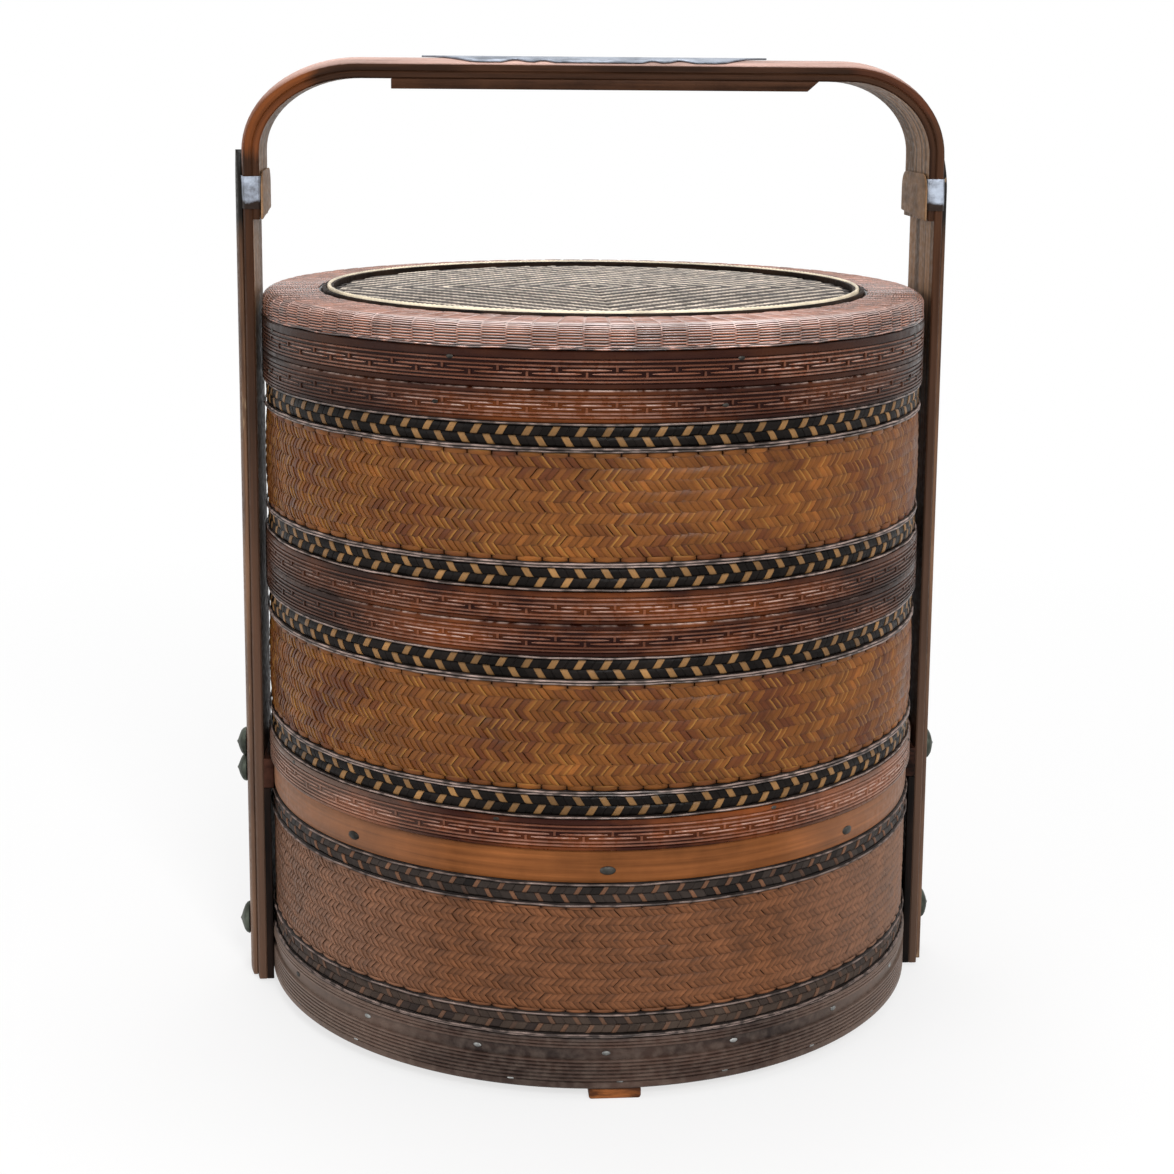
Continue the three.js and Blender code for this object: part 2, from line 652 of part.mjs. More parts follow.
function addFrame() {
  const group = new THREE.Group();
  add(group, 'handle_bow', handleBow(), bentwood);
  add(group, 'handle_inner_ply', innerPly(), bentwood);
  addArmPieces(group, 'left');
  addArmPieces(group, 'right');
  add(group, 'grip_under_slip', gripUnderSlip(), bentwood);
  add(group, 'grip_plate', gripPlate(), silveredMetal);
  add(group, 'foot_runner', footRunner(), darkWood);
  add(group, 'cross_runner', crossRunner(), darkWood);
  basket.add(group);
}

addFrame();

export default basket;
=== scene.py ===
"""Dresses an old three-tier bamboo stacking basket: woven walls, carved hoops, braids, cane and bentwood.

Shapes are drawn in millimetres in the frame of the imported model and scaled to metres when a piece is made.
"""

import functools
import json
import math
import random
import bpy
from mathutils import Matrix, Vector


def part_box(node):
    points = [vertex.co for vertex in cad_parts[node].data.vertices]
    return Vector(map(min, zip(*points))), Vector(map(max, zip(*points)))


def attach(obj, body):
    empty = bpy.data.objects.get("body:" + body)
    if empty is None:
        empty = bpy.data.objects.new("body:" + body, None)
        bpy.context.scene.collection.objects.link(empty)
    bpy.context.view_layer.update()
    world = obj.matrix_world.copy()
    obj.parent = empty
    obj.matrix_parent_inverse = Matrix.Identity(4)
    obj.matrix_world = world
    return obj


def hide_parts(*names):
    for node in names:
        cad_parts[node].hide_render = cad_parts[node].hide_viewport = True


bl_info = {
    "name": "Stacking Basket",
    "version": (1, 0, 0),
    "blender": (4, 5, 0),
    "location": "View3D > Sidebar > Basket",
    "description": "Builds the woven, carved and bent pieces of a stacking basket round its packed frame",
    "category": "Object",
}

import bmesh
import bpy
from mathutils import Matrix, Vector, noise

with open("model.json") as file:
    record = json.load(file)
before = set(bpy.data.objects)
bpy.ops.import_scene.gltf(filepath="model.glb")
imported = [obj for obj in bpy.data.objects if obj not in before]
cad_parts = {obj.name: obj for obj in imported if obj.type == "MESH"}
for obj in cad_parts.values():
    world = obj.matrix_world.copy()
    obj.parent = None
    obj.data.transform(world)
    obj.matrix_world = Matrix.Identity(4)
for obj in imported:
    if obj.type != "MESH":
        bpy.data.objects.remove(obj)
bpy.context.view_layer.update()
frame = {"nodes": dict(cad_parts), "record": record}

MM = 0.001
UPRIGHT = (0, 0, 1)
MIDDLE = (0, 0, 0)
PHOTO_SIDE = 1174
TIERS = ("base", "middle", "top")
SIDES = ((-1, "left"), (1, "right"))

# Round pieces
RING_STEPS = 180
WALL_RADIUS = 174.3
EDGE_ROUND = 0.8

# Woven walls and braids: the bed that lies behind the strands, dark with painted shade, is this much outside
# the wall's radius
TWILL_BED = 1.6
TWILL_COVER = 0.98
TWILL_OVERLAP = 1.3
WALL_BULGE = 0.95
BORDER_FLOATS = 90
BORDER_LONG = 11.5
BRAID_BED = 2.0
BRAID_SLOPE = 59
BRAID_COVER = 0.96

# Canes: how deep their bed lies, how far a strand wanders, and the width from which a band has two
CANE_SUNK = 1.6
CANE_WANDER = 0.35
CANE_DOUBLE = 1.8

# Carved hoops: grooves as [from, to, depth] down from the top edge, with a fret in the widest one
CARVED_GROOVES = (
    (2.0, 2.8, 0.7), (3.5, 5.0, 0.8), (5.7, 10.7, 0.8), (11.4, 12.4, 0.8), (13.1, 13.9, 0.7),
)
CARVED_CENTRE = 8.2
CARVED_REACH = 5.6
FRET_FLOOR = CARVED_GROOVES[2][2]
FRET_ROWS = (7.25, 9.1)
FRET_SUNK = 0.2
FRET_DASH_HEIGHT = 0.85
FRET_DASH_SHARE = 0.82
FRET_TICK_HEIGHT = 2.5
FRET_TICK_ARC = 0.36
FRET_TICK_SHIFT = 0.45
FRET_SOFT = 0.25
LID_HOOP_DROP = 1.6
GROOVE_SLOPE = 0.22
RIDGE_WEAR = 0.6
RIDGE_LIT = 0.15
FOOT_GROOVES = (
    (1.0, 1.7, 0.6), (2.6, 3.5, 0.7), (4.4, 11.0, 1.5), (11.9, 12.9, 0.8), (13.8, 14.8, 0.8),
    (15.7, 16.8, 0.8), (17.7, 18.8, 0.8), (19.7, 20.8, 0.8), (21.7, 22.6, 0.7),
)
RIM_CROWN = 0.7

# Liners
LINER_WALL = 5.0
LINER_SOFT = 0.6

# Lid: the woven face stands higher than the plain panel it dresses, by the panel's lift
SHOULDER_ROLL = 6.0
WICKER_COVER = (0.76, 0.88)
WICKER_START = 1.2
WICKER_END = 0.4
RIB_HALF = 0.45
RIB_START = 7.0
RIB_END = 1.5
PANEL_LIFT = 2.0
PANEL_DOME = 1.3
PANEL_BORDER = 1.0
PANEL_GROUND = 0.45
PANEL_CYCLE = 6
GOLD_HALF = 1.0
GOLD_LIFT = 0.5
GOLD_WRAPS = 300
DARK_RING_LIFT = 0.6
DARK_RING_WALL = 2.5
LIP_WALL = 1.3

# Carrying frame: faces are distances out from the inner face of the bow
BOW_INNER = 182.0
ARM_HALF = 29.0
BOW_EDGE = 4.2
BOW_CROWN = 3.0
BOW_SEAT = -0.3
PLY_FACES = (-3.9, -0.2)
PLY_GAP = 0.3
INSIDE_HALF = ARM_HALF - 1.4
ARM_FOOT = 1.5
BEND_RISE = 43.0
BEND_REACH = {-1: 56.0, 1: 49.0}
BEND_STEPS = 18
STRAIGHT_STEPS = 10
SLIP_HALF = 22.5
SLIP_FACES = (4.25, 6.5)
SLIP_SWELL = 1.3
SLIP_POINT = 20.0
SLIP_POINT_STEPS = 6
SLIP_STEPS = 12
SLIP_TIP_HALF = 1.5
PLATE_FACES = (4.5, 5.4)
PLATE_HALF = 27.0
# Half widths of the plate by the distance from its tip: an ogee and two small cusps
PLATE_SCALLOPS = (
    (0, 0.06), (5, 0.12), (12, 0.3), (19, 0.66), (25, 0.92), (31, 1.0), (42, 0.98), (48, 0.72), (50, 0.7),
    (55, 0.92), (59, 0.97), (63, 0.8), (65, 0.8), (70, 1.0),
)
CHEEK_SHARE = 0.35
CHEEK_REACH = 0.85
CHEEK_SLANT = 3.0
CHEEK_SLANT_HEIGHT = 12.0
SEAT_GAP = 0.28
STUD_RISE = 5.5
STUD_DOME = ((1.0, 0.12), (0.93, 0.34), (0.76, 0.54), (0.48, 0.72), (0.18, 0.86), (0.0, 1.0))
STUD_RADIUS = 9.0
LOBE_RADIUS = 8.0
LOBE_SHIFT = 7.5
SHANK_RADIUS = 2.4
SHANK_DEPTHS = (-17.0, -0.3)
BAND_WALL = 0.5
BAND_GROWN = BAND_WALL + 0.05
BAND_TARNISH = (0.1, 0.3)
# Seed of the small dents in hand-worked metal
DENT_SEED = 67

# Nails as [piece, body, carrying node, drop from its top, first angle from the front, step, count, radius,
# sunk by], and how far a nail's head is flattened out, along and up
NAIL_ROWS = (
    ("lid_nails", "lid", "lid_rim_hoop", 4.2, 18.5, 45.0, 8, 1.5, 0.0),
    ("top_nails", "top_tier", "top_top_hoop", 8.0, 16.0, 45.0, 8, 1.4, 0.0),
    ("middle_nails", "middle_tier", "middle_bottom_hoop", 1.2, 26.0, 45.0, 8, 1.3, 0.0),
    ("base_rim_nails", "base", "base_rim_hoop", 10.0, -1.5, 45.0, 8, 3.2, 0.0),
    ("base_foot_nails", "base", "base_foot_hoop", 7.5, -1.5, 21.2, 17, 1.7, 1.3),
    ("base_low_nails", "base", "base_foot_hoop", 22.5, -16.7, 17.4, 20, 1.4, 0.5),
)
NAIL_SQUASH = (0.3, 1.25, 0.7)

# Painted light and wear: how much painted sheen the wicker has by how much a face looks up, how much of it
# stays at the sides, where the sides begin and end in metres from the middle, the colours of the pale
# painted sheen and the dark painted shade at the sides, of dust on the ground and in grooves, and of edges
# that catch the light
SHEEN_STOPS = ((0.2, 0.0), (0.5, 0.85), (0.8, 1.0), (0.97, 0.1))
SHEEN_AT_SIDES = 0.28
FLANK_SPAN = (0.08, 0.165)
SIDE_SHEEN_COLOUR = "#9c8678"
SIDE_SHADE_COLOUR = "#2b2420"
GROUND_DUST = "#82695a"
GROOVE_DUST = "#7d6e64"
GLINT_COLOUR = "#c4aba0"

# Scales of the grain and the stains of a slat, to the millimetre along its own length or to the metre
SLAT_GRAIN = (0.009, 0.32, 0.32)
SLAT_STAIN = (0.007, 0.03, 0.03)
BOARD_STAIN = (26.0, 26.0, 26.0)

# Lamps as [name, place and side in metres, watts]
LAMPS = (
    ("key", (0.35, -1.85, 1.4), 0.6, 30),
    ("fill", (-1.9, -1.1, 0.9), 1.2, 14.5),
    ("side", (1.9, -0.3, 0.9), 1.0, 4.5),
    ("top", (0.0, 0.7, 2.1), 1.2, 20),
)
LAMP_TARGET = (0, 0, 0.25)

# Camera: where it stands, in millimetres and degrees, and its focal length in pixels of the photo
CAMERA_AZIMUTH = -4.5
CAMERA_DISTANCE = 1144.2
CAMERA_HEIGHT = 497.2
CAMERA_PITCH = 9.65
CAMERA_ROLL = 0.45
CAMERA_FOCUS = 2090.9
CAMERA_OFFSET = (5.0, -150.0)


def linear(code, alpha=1.0):
    """Turns an sRGB hex colour into linear values."""
    shares = [int(code[i:i + 2], 16) / 255 for i in (1, 3, 5)]
    return (*[s / 12.92 if s <= 0.04045 else ((s + 0.055) / 1.055) ** 2.4 for s in shares], alpha)


# Settings that a user would change


def colour(name, description, code):
    return bpy.props.FloatVectorProperty(
        name=name, description=description, subtype="COLOR", size=4, min=0, max=1, default=linear(code)
    )


def length(name, description, millimetres):
    return bpy.props.FloatProperty(
        name=name, description=description, unit="LENGTH", precision=5, default=millimetres * MM
    )


def count(name, description, number, least):
    return bpy.props.IntProperty(name=name, description=description, default=number, min=least)


class BasketSizes(bpy.types.PropertyGroup):
    """Counts and sizes of the strands"""

    twill_rows: count("Twill rows", "Rows of slanted floats on an upper wall", 9, 2)
    twill_floats: count("Twill floats", "Floats round one row of an upper wall", 312, 24)
    base_rows: count("Base rows", "Rows of slanted floats on the base wall", 13, 2)
    base_floats: count("Base floats", "Floats round one row of the base wall", 330, 24)
    braid_repeats: count("Braid repeats", "Tan strips round one row of a braid", 88, 12)
    fret_repeats: count("Fret repeats", "Dashes round one row of a carved hoop", 40, 8)
    wicker_blocks: count("Wicker blocks", "Blocks of strands round the lid, an even number", 92, 8)
    wicker_pitch: length("Wicker pitch", "Spacing of the strands in a wicker block", 1.4)
    panel_pitch: length("Panel pitch", "Spacing of the splints in the lid panel", 2.3)


class BasketColours(bpy.types.PropertyGroup):
    """Main colours of the finishes"""

    lacquer: colour("Lacquer", "Worn faces of the carved hoops", "#94604a")
    lacquer_warm: colour("Lacquer warm", "Warm patches of the carved hoops", "#713a17")
    lacquer_deep: colour("Lacquer grooves", "Grooves of the carved hoops", "#1f0905")
    foot: colour("Foot lacquer", "Worn faces of the foot hoop", "#5a443a")
    foot_deep: colour("Foot grooves", "Grooves of the foot hoop", "#241b18")
    weave: colour("Weave", "Golden splints of the upper walls", "#6c3f18")
    weave_red: colour("Weave patches", "Reddish splints of the upper walls", "#552c14")
    # A painted highlight along one long edge of the splints
    weave_edge_highlight: colour("Weave edges", "Pale long edges of the upper walls' splints", "#8f632c")
    base_weave: colour("Base weave", "Splints of the base wall", "#6f462c")
    black_strip: colour("Black strip", "Black strips of the braids", "#15110f")
    tan_strip: colour("Tan strip", "Tan strips of the braids", "#7d5b35")
    cane: colour("Cane", "Thin bindings between the bands", "#8d7a72")
    plain: colour("Plain bamboo", "The plain rim hoop", "#7a4926")
    wicker: colour("Wicker", "Strands of the lid shoulder", "#96593c")
    panel_dark: colour("Panel dark", "Dark splints of the lid panel", "#5c544f")
    panel_tan: colour("Panel tan", "Tan splints of the lid panel", "#dccdbb")
    gold: colour("Gold cane", "Ring round the lid panel", "#efe0c4")
    bentwood: colour("Bentwood", "Bow and slips of the frame", "#41291b")
    leg: colour("Leg", "Bare inner faces of the frame", "#8a6b4f")
    # Partly rubbed wear and partly a painted sheen on the faces of the bow that look up
    bentwood_worn_sheen: colour("Bentwood worn", "Handled top of the bow", "#d3ada0")
    board: colour("Board", "Liners and floors", "#9a7648")
    silver: colour("Silvered metal", "Shoulder bands and grip plate", "#a3abb8")
    iron: colour("Iron", "Studs and nails", "#565b52")


def sizes():
    return bpy.context.scene.basket_sizes


def colours():
    return bpy.context.scene.basket_colours


# Shapes


def span_of(node):
    """Bottom, top and outer radius of a round CAD node, in millimetres."""
    low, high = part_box(node)
    return low.z / MM, high.z / MM, high.x / MM


def start_shape():
    """An empty shape whose points carry a tint, a rise and a place along the grain."""
    bm = bmesh.new()
    bm.verts.layers.float.new("tint")
    bm.verts.layers.float.new("rise")
    bm.verts.layers.float_vector.new("grain")
    return bm


def set_points(bm, **values):
    """Gives all points of a shape the same tint or rise."""
    for name, value in values.items():
        layer = bm.verts.layers.float[name]
        for vert in bm.verts:
            vert[layer] = value


def spin(bm, geom, steps, angle=math.tau, axis=UPRIGHT, centre=MIDDLE, step=(0, 0, 0), copies=False):
    """Spins a part of a shape into a surface or into copies. A full turn closes on itself."""
    bmesh.ops.spin(
        bm, geom=geom, cent=centre, axis=axis, dvec=step, angle=angle, steps=steps,
        use_merge=angle == math.tau, use_duplicate=copies,
    )


def turned_ring(outline, steps=RING_STEPS, shade=0.5, closed=True):
    """Turns an outline of [radius, height] points round the upright axis, or one that ends on the axis."""
    bm = start_shape()
    corners = [bm.verts.new((radius, 0, height)) for radius, height in outline]
    ends = corners[1:] + corners[:1] if closed else corners[1:]
    edges = [bm.edges.new(pair) for pair in zip(corners, ends)]
    spin(bm, corners + edges, steps)
    if not closed:
        bmesh.ops.remove_doubles(bm, verts=bm.verts, dist=0.001)
    bmesh.ops.recalc_face_normals(bm, faces=bm.faces)
    set_points(bm, tint=shade, rise=1)
    return bm


def splint(
    long, wide, thick=1.0, dip=0.7, crown=0.2, along=4, across=2, finish=0, slope=None, tuck=2.4, tilt=0.0,
    edge=0.3, end_shade=0.75,
):
    """A closed splint along Y that faces +X, crowned across and dipping at its ends.

    With a slope it rises by its length instead, and its two ends are cut level. A tilt raises one of its
    long edges over its neighbour. Its points near an end or a low edge have less rise, which the finishes
    paint as shade, by the share for the ends and the share called edge.
    """
    bm = start_shape()
    bmesh.ops.create_grid(bm, x_segments=along, y_segments=across, size=0.5)
    made = bmesh.ops.extrude_face_region(bm, geom=bm.faces[:])
    under = [part for part in made["geom"] if isinstance(part, bmesh.types.BMVert)]
    bmesh.ops.translate(bm, vec=(0, 0, -1), verts=under)
    rise, grain = bm.verts.layers.float["rise"], bm.verts.layers.float_vector["grain"]
    for vert in bm.verts:
        u, w = math.sin(math.pi * vert.co.x), 2 * vert.co.y
        on_face = vert.co.z > -0.5
        end = abs(u) ** tuck
        lift = (crown * (1 - w * w) if on_face else -thick) + tilt * w - dip * end
        low_side = max(0.0, -w) if tilt else abs(w)
        vert[rise] = (1 - end_shade * end) * (1 - edge * low_side) if on_face else 0
        reach, over = u * long / 2, w * wide / 2
        vert[grain] = (reach, over, 0)
        if slope is None:
            vert.co = (lift, reach, over * (1 - 0.15 * u * u))
        else:
            vert.co = (lift, over + reach / math.tan(math.radians(slope)), reach)
    for face in bm.faces:
        face.material_index = finish
    bmesh.ops.recalc_face_normals(bm, faces=bm.faces)
    return bm


def rotate(bm, degrees, axis="Z"):
    """Turns a shape about an axis through the middle."""
    matrix = Matrix.Rotation(math.radians(degrees), 3, axis)
    bmesh.ops.rotate(bm, verts=bm.verts, cent=MIDDLE, matrix=matrix)


def set_at(bm, radius, height, degrees=0.0):
    """Moves a shape out to a radius and height, and then round the axis."""
    bmesh.ops.translate(bm, verts=bm.verts, vec=(radius, 0, height))
    rotate(bm, degrees)


def repeat(bm, number, **way):
    """Copies a shape round the axis, or the way that spin is told, until there are so many."""
    if number > 1:
        way.setdefault("angle", math.tau * (number - 1) / number)
        spin(bm, bm.verts[:] + bm.edges[:] + bm.faces[:], number - 1, copies=True, **way)


def vary(bm, points, rng, lift, shift):
    """Gives each copy of so many points its own tint, and moves it a little out and up."""
    tint, grain = bm.verts.layers.float["tint"], bm.verts.layers.float_vector["grain"]
    verts = bm.verts[:]
    for start in range(0, len(verts), points):
        shade = rng.uniform(0, 1)
        seed = rng.uniform(0, 500)
        raised = rng.uniform(-lift, lift)
        moved = rng.uniform(-shift, shift)
        for vert in verts[start:start + points]:
            vert[tint] = shade
            along, over, _ = vert[grain]
            vert[grain] = (along, over, seed)
            vert.co += outward(vert) * raised
            vert.co.z += moved


def outward(vert):
    """The level direction from the axis to a point."""
    return Vector((vert.co.x, vert.co.y, 0)).normalized()


def radius_of(vert):
    return math.hypot(vert.co.x, vert.co.y)


def join_to(bm, part):
    """Adds a shape to another and frees it."""
    carrier = bpy.data.meshes.new("carrier")
    part.to_mesh(carrier)
    part.free()
    bm.from_mesh(carrier)
    bpy.data.meshes.remove(carrier)


def lay_round(bm, part, number, rng, lift, shift):
    """Adds so many copies of a placed strand to a shape, round the axis and each a little different."""
    points = len(part.verts)
    repeat(part, number)
    vary(part, points, rng, lift, shift)
    join_to(bm, part)


def loft(sections, lengths=None, grains=None):
    """A closed solid through sections that each have as many points as the others."""
    bm = start_shape()
    grain = bm.verts.layers.float_vector["grain"]
    cap = bm.faces.new([bm.verts.new(point) for point in sections[0]])
    for step, section in enumerate(sections):
        if step:
            made = bmesh.ops.extrude_face_region(bm, geom=[cap])
            if step > 1:
                bmesh.ops.delete(bm, geom=[cap], context="FACES_ONLY")
            cap = next(part for part in made["geom"] if isinstance(part, bmesh.types.BMFace))
        for i, vert in enumerate(cap.verts):
            vert.co = section[i]
            if grains:
                vert[grain] = (lengths[step], *grains[i])
    bmesh.ops.recalc_face_normals(bm, faces=bm.faces)
    return bm


def softened(node, width, segments=2):
    """A copy of a CAD node with its flat faces whole and its sharp edges rounded."""
    bm = start_shape()
    bm.from_mesh(frame["nodes"][node].data)
    bmesh.ops.scale(bm, vec=(1 / MM, 1 / MM, 1 / MM), verts=bm.verts)
    bmesh.ops.remove_doubles(bm, verts=bm.verts, dist=0.01)
    bmesh.ops.dissolve_limit(bm, angle_limit=0.02, verts=bm.verts, edges=bm.edges)
    sharp = [edge for edge in bm.edges if edge.is_manifold and edge.calc_face_angle() > 0.5]
    bmesh.ops.bevel(
        bm, geom=sharp, offset=width, offset_type="OFFSET", affect="EDGES",
        segments=segments, profile=0.5, material=-1, clamp_overlap=True,
    )
    return bm


def body_of(node):
    bodies = frame["record"]["behaviour"]["bodies"]
    return next(body for body, members in bodies.items() if node in members)


def make_piece(bm, name, body, finishes, sharp=40):
    """Makes an object of a shape in millimetres. It rides on a body and takes the finishes given."""
    bmesh.ops.scale(bm, vec=(MM, MM, MM), verts=bm.verts)
    mesh = bpy.data.meshes.new(name)
    bm.to_mesh(mesh)
    bm.free()
    mesh.shade_smooth()
    mesh.set_sharp_from_angle(angle=math.radians(sharp))
    for finish in finishes:
        mesh.materials.append(finish)
    piece = bpy.data.objects.new(name, mesh)
    bpy.context.scene.collection.objects.link(piece)
    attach(piece, body)
    return piece


def stand_for(bm, node, finishes, sharp=40):
    """Makes a piece that stands for a CAD node."""
    piece = make_piece(bm, node + "_dressed", body_of(node), finishes, sharp)
    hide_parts(node)


# Materials


def add_node(tree, kind, inputs=(), output=None, **settings):
    """Adds a shader node with its settings, sets or links its inputs, and gives one of its outputs.

    A row of inputs fills the enabled ones in order: a map range takes its value, then the low and high ends
    that it runs from, then those that it runs to. The output is the first enabled one, or the one named.
    """
    node = tree.nodes.new("ShaderNode" + kind)
    for name, value in settings.items():
        setattr(node, name, value)
    if isinstance(inputs, dict):
        pairs = [(node.inputs[key], value) for key, value in inputs.items()]
    else:
        pairs = zip([socket for socket in node.inputs if socket.enabled], inputs)
    for socket, value in pairs:
        if isinstance(value, bpy.types.NodeSocket):
            tree.links.new(value, socket)
        else:
            socket.default_value = value
    return node.outputs[output] if output else next(socket for socket in node.outputs if socket.enabled)


def set_stops(ramp, stops):
    """Fills the colour ramp that an output comes from with (place, colour) pairs."""
    band = ramp.node.color_ramp
    while len(band.elements) < len(stops):
        band.elements.new(0.5)
    for element, (place, shade) in zip(band.elements, stops):
        element.position = place
        element.color = shade
    return ramp


def grey(value):
    return (value, value, value, 1.0)


def toned(shade, share):
    """A colour made darker or brighter by a share."""
    return (*[part * share for part in shade[:3]], 1.0)


def start_material(name, **sockets):
    """A material, its principled shader with plain sockets set, and a function that adds its nodes."""
    material = bpy.data.materials.new(name)
    material.use_nodes = True
    shader = material.node_tree.nodes["Principled BSDF"]
    for key, value in sockets.items():
        shader.inputs[key.replace("_", " ")].default_value = value
    return material, shader, functools.partial(add_node, material.node_tree)


def link_surface(shader, add, hue, gloss, relief):
    """Links a shader's colour, its roughness as a map range, and its bump as [strength, metres, height]."""
    strength, distance, height = relief
    bump = add("Bump", {"Strength": strength, "Distance": distance, "Height": height})
    for key, socket in (("Base Color", hue), ("Roughness", add("MapRange", gloss)), ("Normal", bump)):
        shader.id_data.links.new(socket, shader.inputs[key])


def aside(add, place, middle, flank):
    """A share that runs from one value at the middle of the basket to another at its left and right."""
    across = add("SeparateXYZ", [place], "X")
    away = add("Math", [across], operation="ABSOLUTE")
    return add("MapRange", [away, *FLANK_SPAN, middle, flank])


def towards_sides(add, place, hue, most, side_colour=SIDE_SHEEN_COLOUR):
    """A colour that turns to another towards the left and right, by a share at most; by default the other is
    the pale colour of a painted sheen.
    """
    return add("Mix", [aside(add, place, 0.0, most), hue, linear(side_colour)], data_type="RGBA")


def splint_finish(
    name, main, other, roughness=0.5, patch=14.0, gap=0.3, index=1.28, glint=1.35, edge_highlight=None, painted_sheen=None,
    flank=0.0,
):
    """Split bamboo: each splint has its own tint, fine fibres along it and painted shade where it dips.

    Its tints run from the other colour to the main one and, on a few splints, to one brighter by the glint.
    The fibres are drawn about half a millimetre wide, coarser than real ones, so that they show. A painted
    highlight along one edge is (colour, from, to): on half of the splints one long edge turns to it, by the
    millimetres from the middle. The painted sheen is a pale colour painted on faces that look up and
    outwards, most at the front, and flank is how far the splints turn to a pale grey painted sheen at the
    left and right.
    """
    material, shader, add = start_material(name, IOR=index)
    tint = add("Attribute", output="Fac", attribute_name="tint")
    rise = add("Attribute", output="Fac", attribute_name="rise")
    grain = add("Attribute", output="Vector", attribute_name="grain")
    place = add("TexCoord", output="Object")
    fibres = add("Mapping", {"Vector": grain, "Scale": (0.16, 2.2, 1.0)})
    lines = add("TexNoise", {"Vector": fibres, "Scale": 1.0, "Detail": 3.0, "Roughness": 0.6})
    patches = add("TexNoise", {"Vector": place, "Scale": patch, "Detail": 3.0, "Roughness": 0.55})
    spots = add("TexNoise", {"Vector": place, "Scale": 60.0, "Detail": 2.0})
    mixed = add("Math", [tint, 0.5, patches], operation="MULTIPLY_ADD")
    ramp = add("ValToRGB", [add("MapRange", [mixed, 0.4, 1.1])])
    hue = set_stops(ramp, [(0.1, other), (0.5, main), (0.76, main), (0.95, toned(main, glint))])
    if edge_highlight:
        pale, start, end = edge_highlight
        axes = add("SeparateXYZ", [grain]).node.outputs
        near = add("MapRange", [axes["Y"], start, end])
        own = add("Math", [axes["Z"]], operation="FRACT")
        share = add("Math", [near, add("MapRange", [own, 0.5, 1.0])], operation="MULTIPLY")
        hue = add("Mix", [share, hue, pale], data_type="RGBA")
    # Painted sheen: a pale colour on faces that look up and outwards, less at the left and right
    if painted_sheen:
        up = add("SeparateXYZ", [add("NewGeometry", output="Normal")], "Z")
        upward_sheen = set_stops(add("ValToRGB", [up]), [(slant, grey(share)) for slant, share in SHEEN_STOPS])
        uneven = add("MapRange", [patches, 0.35, 0.6, 0.65, 1.0])
        share = add("Math", [upward_sheen, uneven], operation="MULTIPLY")
        share = add("Math", [share, aside(add, place, 1.0, SHEEN_AT_SIDES)], operation="MULTIPLY")
        hue = add("Mix", [share, hue, painted_sheen], data_type="RGBA")
    # Painted sheen: the splints turn paler and greyer towards the left and right
    if flank:
        hue = towards_sides(add, place, hue, flank)
    shade = add("Math", [lines, 0.9, spots], operation="MULTIPLY_ADD")
    level = add("MapRange", [shade, 0.55, 1.35, 0.6, 1.3])
    # Painted shade: points with little rise, where a splint dips at its ends, tucks under or lies low,
    # darken down to the gap share
    depth = add("MapRange", [rise, 0.1, 0.75, gap, 1.0])
    both = add("Math", [level, depth], operation="MULTIPLY")
    hue = add("VectorMath", [hue, both], operation="SCALE")
    gloss = [spots, 0.3, 0.7, roughness - 0.1, roughness + 0.15]
    link_surface(shader, add, hue, gloss, [0.35, 0.0003, lines])
    return material


def carved_finish(name, worn, warm, deep, roughness=0.28, dust=0.0, index=1.18, flank=0.0, side_shade=0.0):
    """Lacquered bamboo: raised lines rubbed pale, and ground between near-black and warm brown lacquer.

    The tint marks edges that catch the light, and breaks up along them. Dust lies all over in specks, flank
    is how far the left and right of the basket turn to a pale grey painted sheen, and the last share is
    painted shade that darkens them there.
    """
    material, shader, add = start_material(name, IOR=index)
    wear = add("Attribute", output="Fac", attribute_name="rise")
    edge = add("Attribute", output="Fac", attribute_name="tint")
    place = add("TexCoord", output="Object")
    drawn = add("Mapping", {"Vector": place, "Scale": (14.0, 14.0, 520.0)})
    grain = add("TexNoise", {"Vector": drawn, "Scale": 1.0, "Detail": 4.0})
    wide = add("Mapping", {"Vector": place, "Scale": (13.0, 13.0, 45.0)})
    broad = add("TexNoise", {"Vector": wide, "Scale": 1.0, "Detail": 4.0, "Roughness": 0.6})
    fine = add("TexNoise", {"Vector": place, "Scale": 220.0, "Detail": 3.0})
    ground = add("Mix", [add("MapRange", [broad, 0.45, 0.72]), deep, warm], data_type="RGBA")
    rubbed = add("MapRange", [broad, 0.3, 0.6, 0.3, 0.8])
    streaky = add("MapRange", [grain, 0.3, 0.7, 0.7, 1.15])
    share = add("Math", [wear, rubbed], operation="MULTIPLY")
    share = add("Math", [share, streaky], operation="MULTIPLY", use_clamp=True)
    hue = add("Mix", [share, ground, worn], data_type="RGBA")
    stretches = add("MapRange", [broad, 0.4, 0.6])
    broken = add("MapRange", [fine, 0.38, 0.6])
    glinting = add("Math", [stretches, broken], operation="MULTIPLY")
    caught = add("Math", [edge, glinting], operation="MULTIPLY", use_clamp=True)
    hue = add("Mix", [caught, hue, linear(GLINT_COLOUR)], data_type="RGBA")
    if dust:
        dusty = add("MapRange", [fine, 0.4, 0.8, 0.0, dust])
        hue = add("Mix", [dusty, hue, linear(GROOVE_DUST)], data_type="RGBA")
    # Painted sheen: paler and greyer towards the left and right
    if flank:
        hue = towards_sides(add, place, hue, flank)
    # Painted shade: the lacquer darkens towards the left and right
    if side_shade:
        hue = towards_sides(add, place, hue, side_shade, SIDE_SHADE_COLOUR)
    gloss = [fine, 0.35, 0.7, roughness - 0.06, roughness + 0.16]
    link_surface(shader, add, hue, gloss, [0.25, 0.0003, grain])
    return material


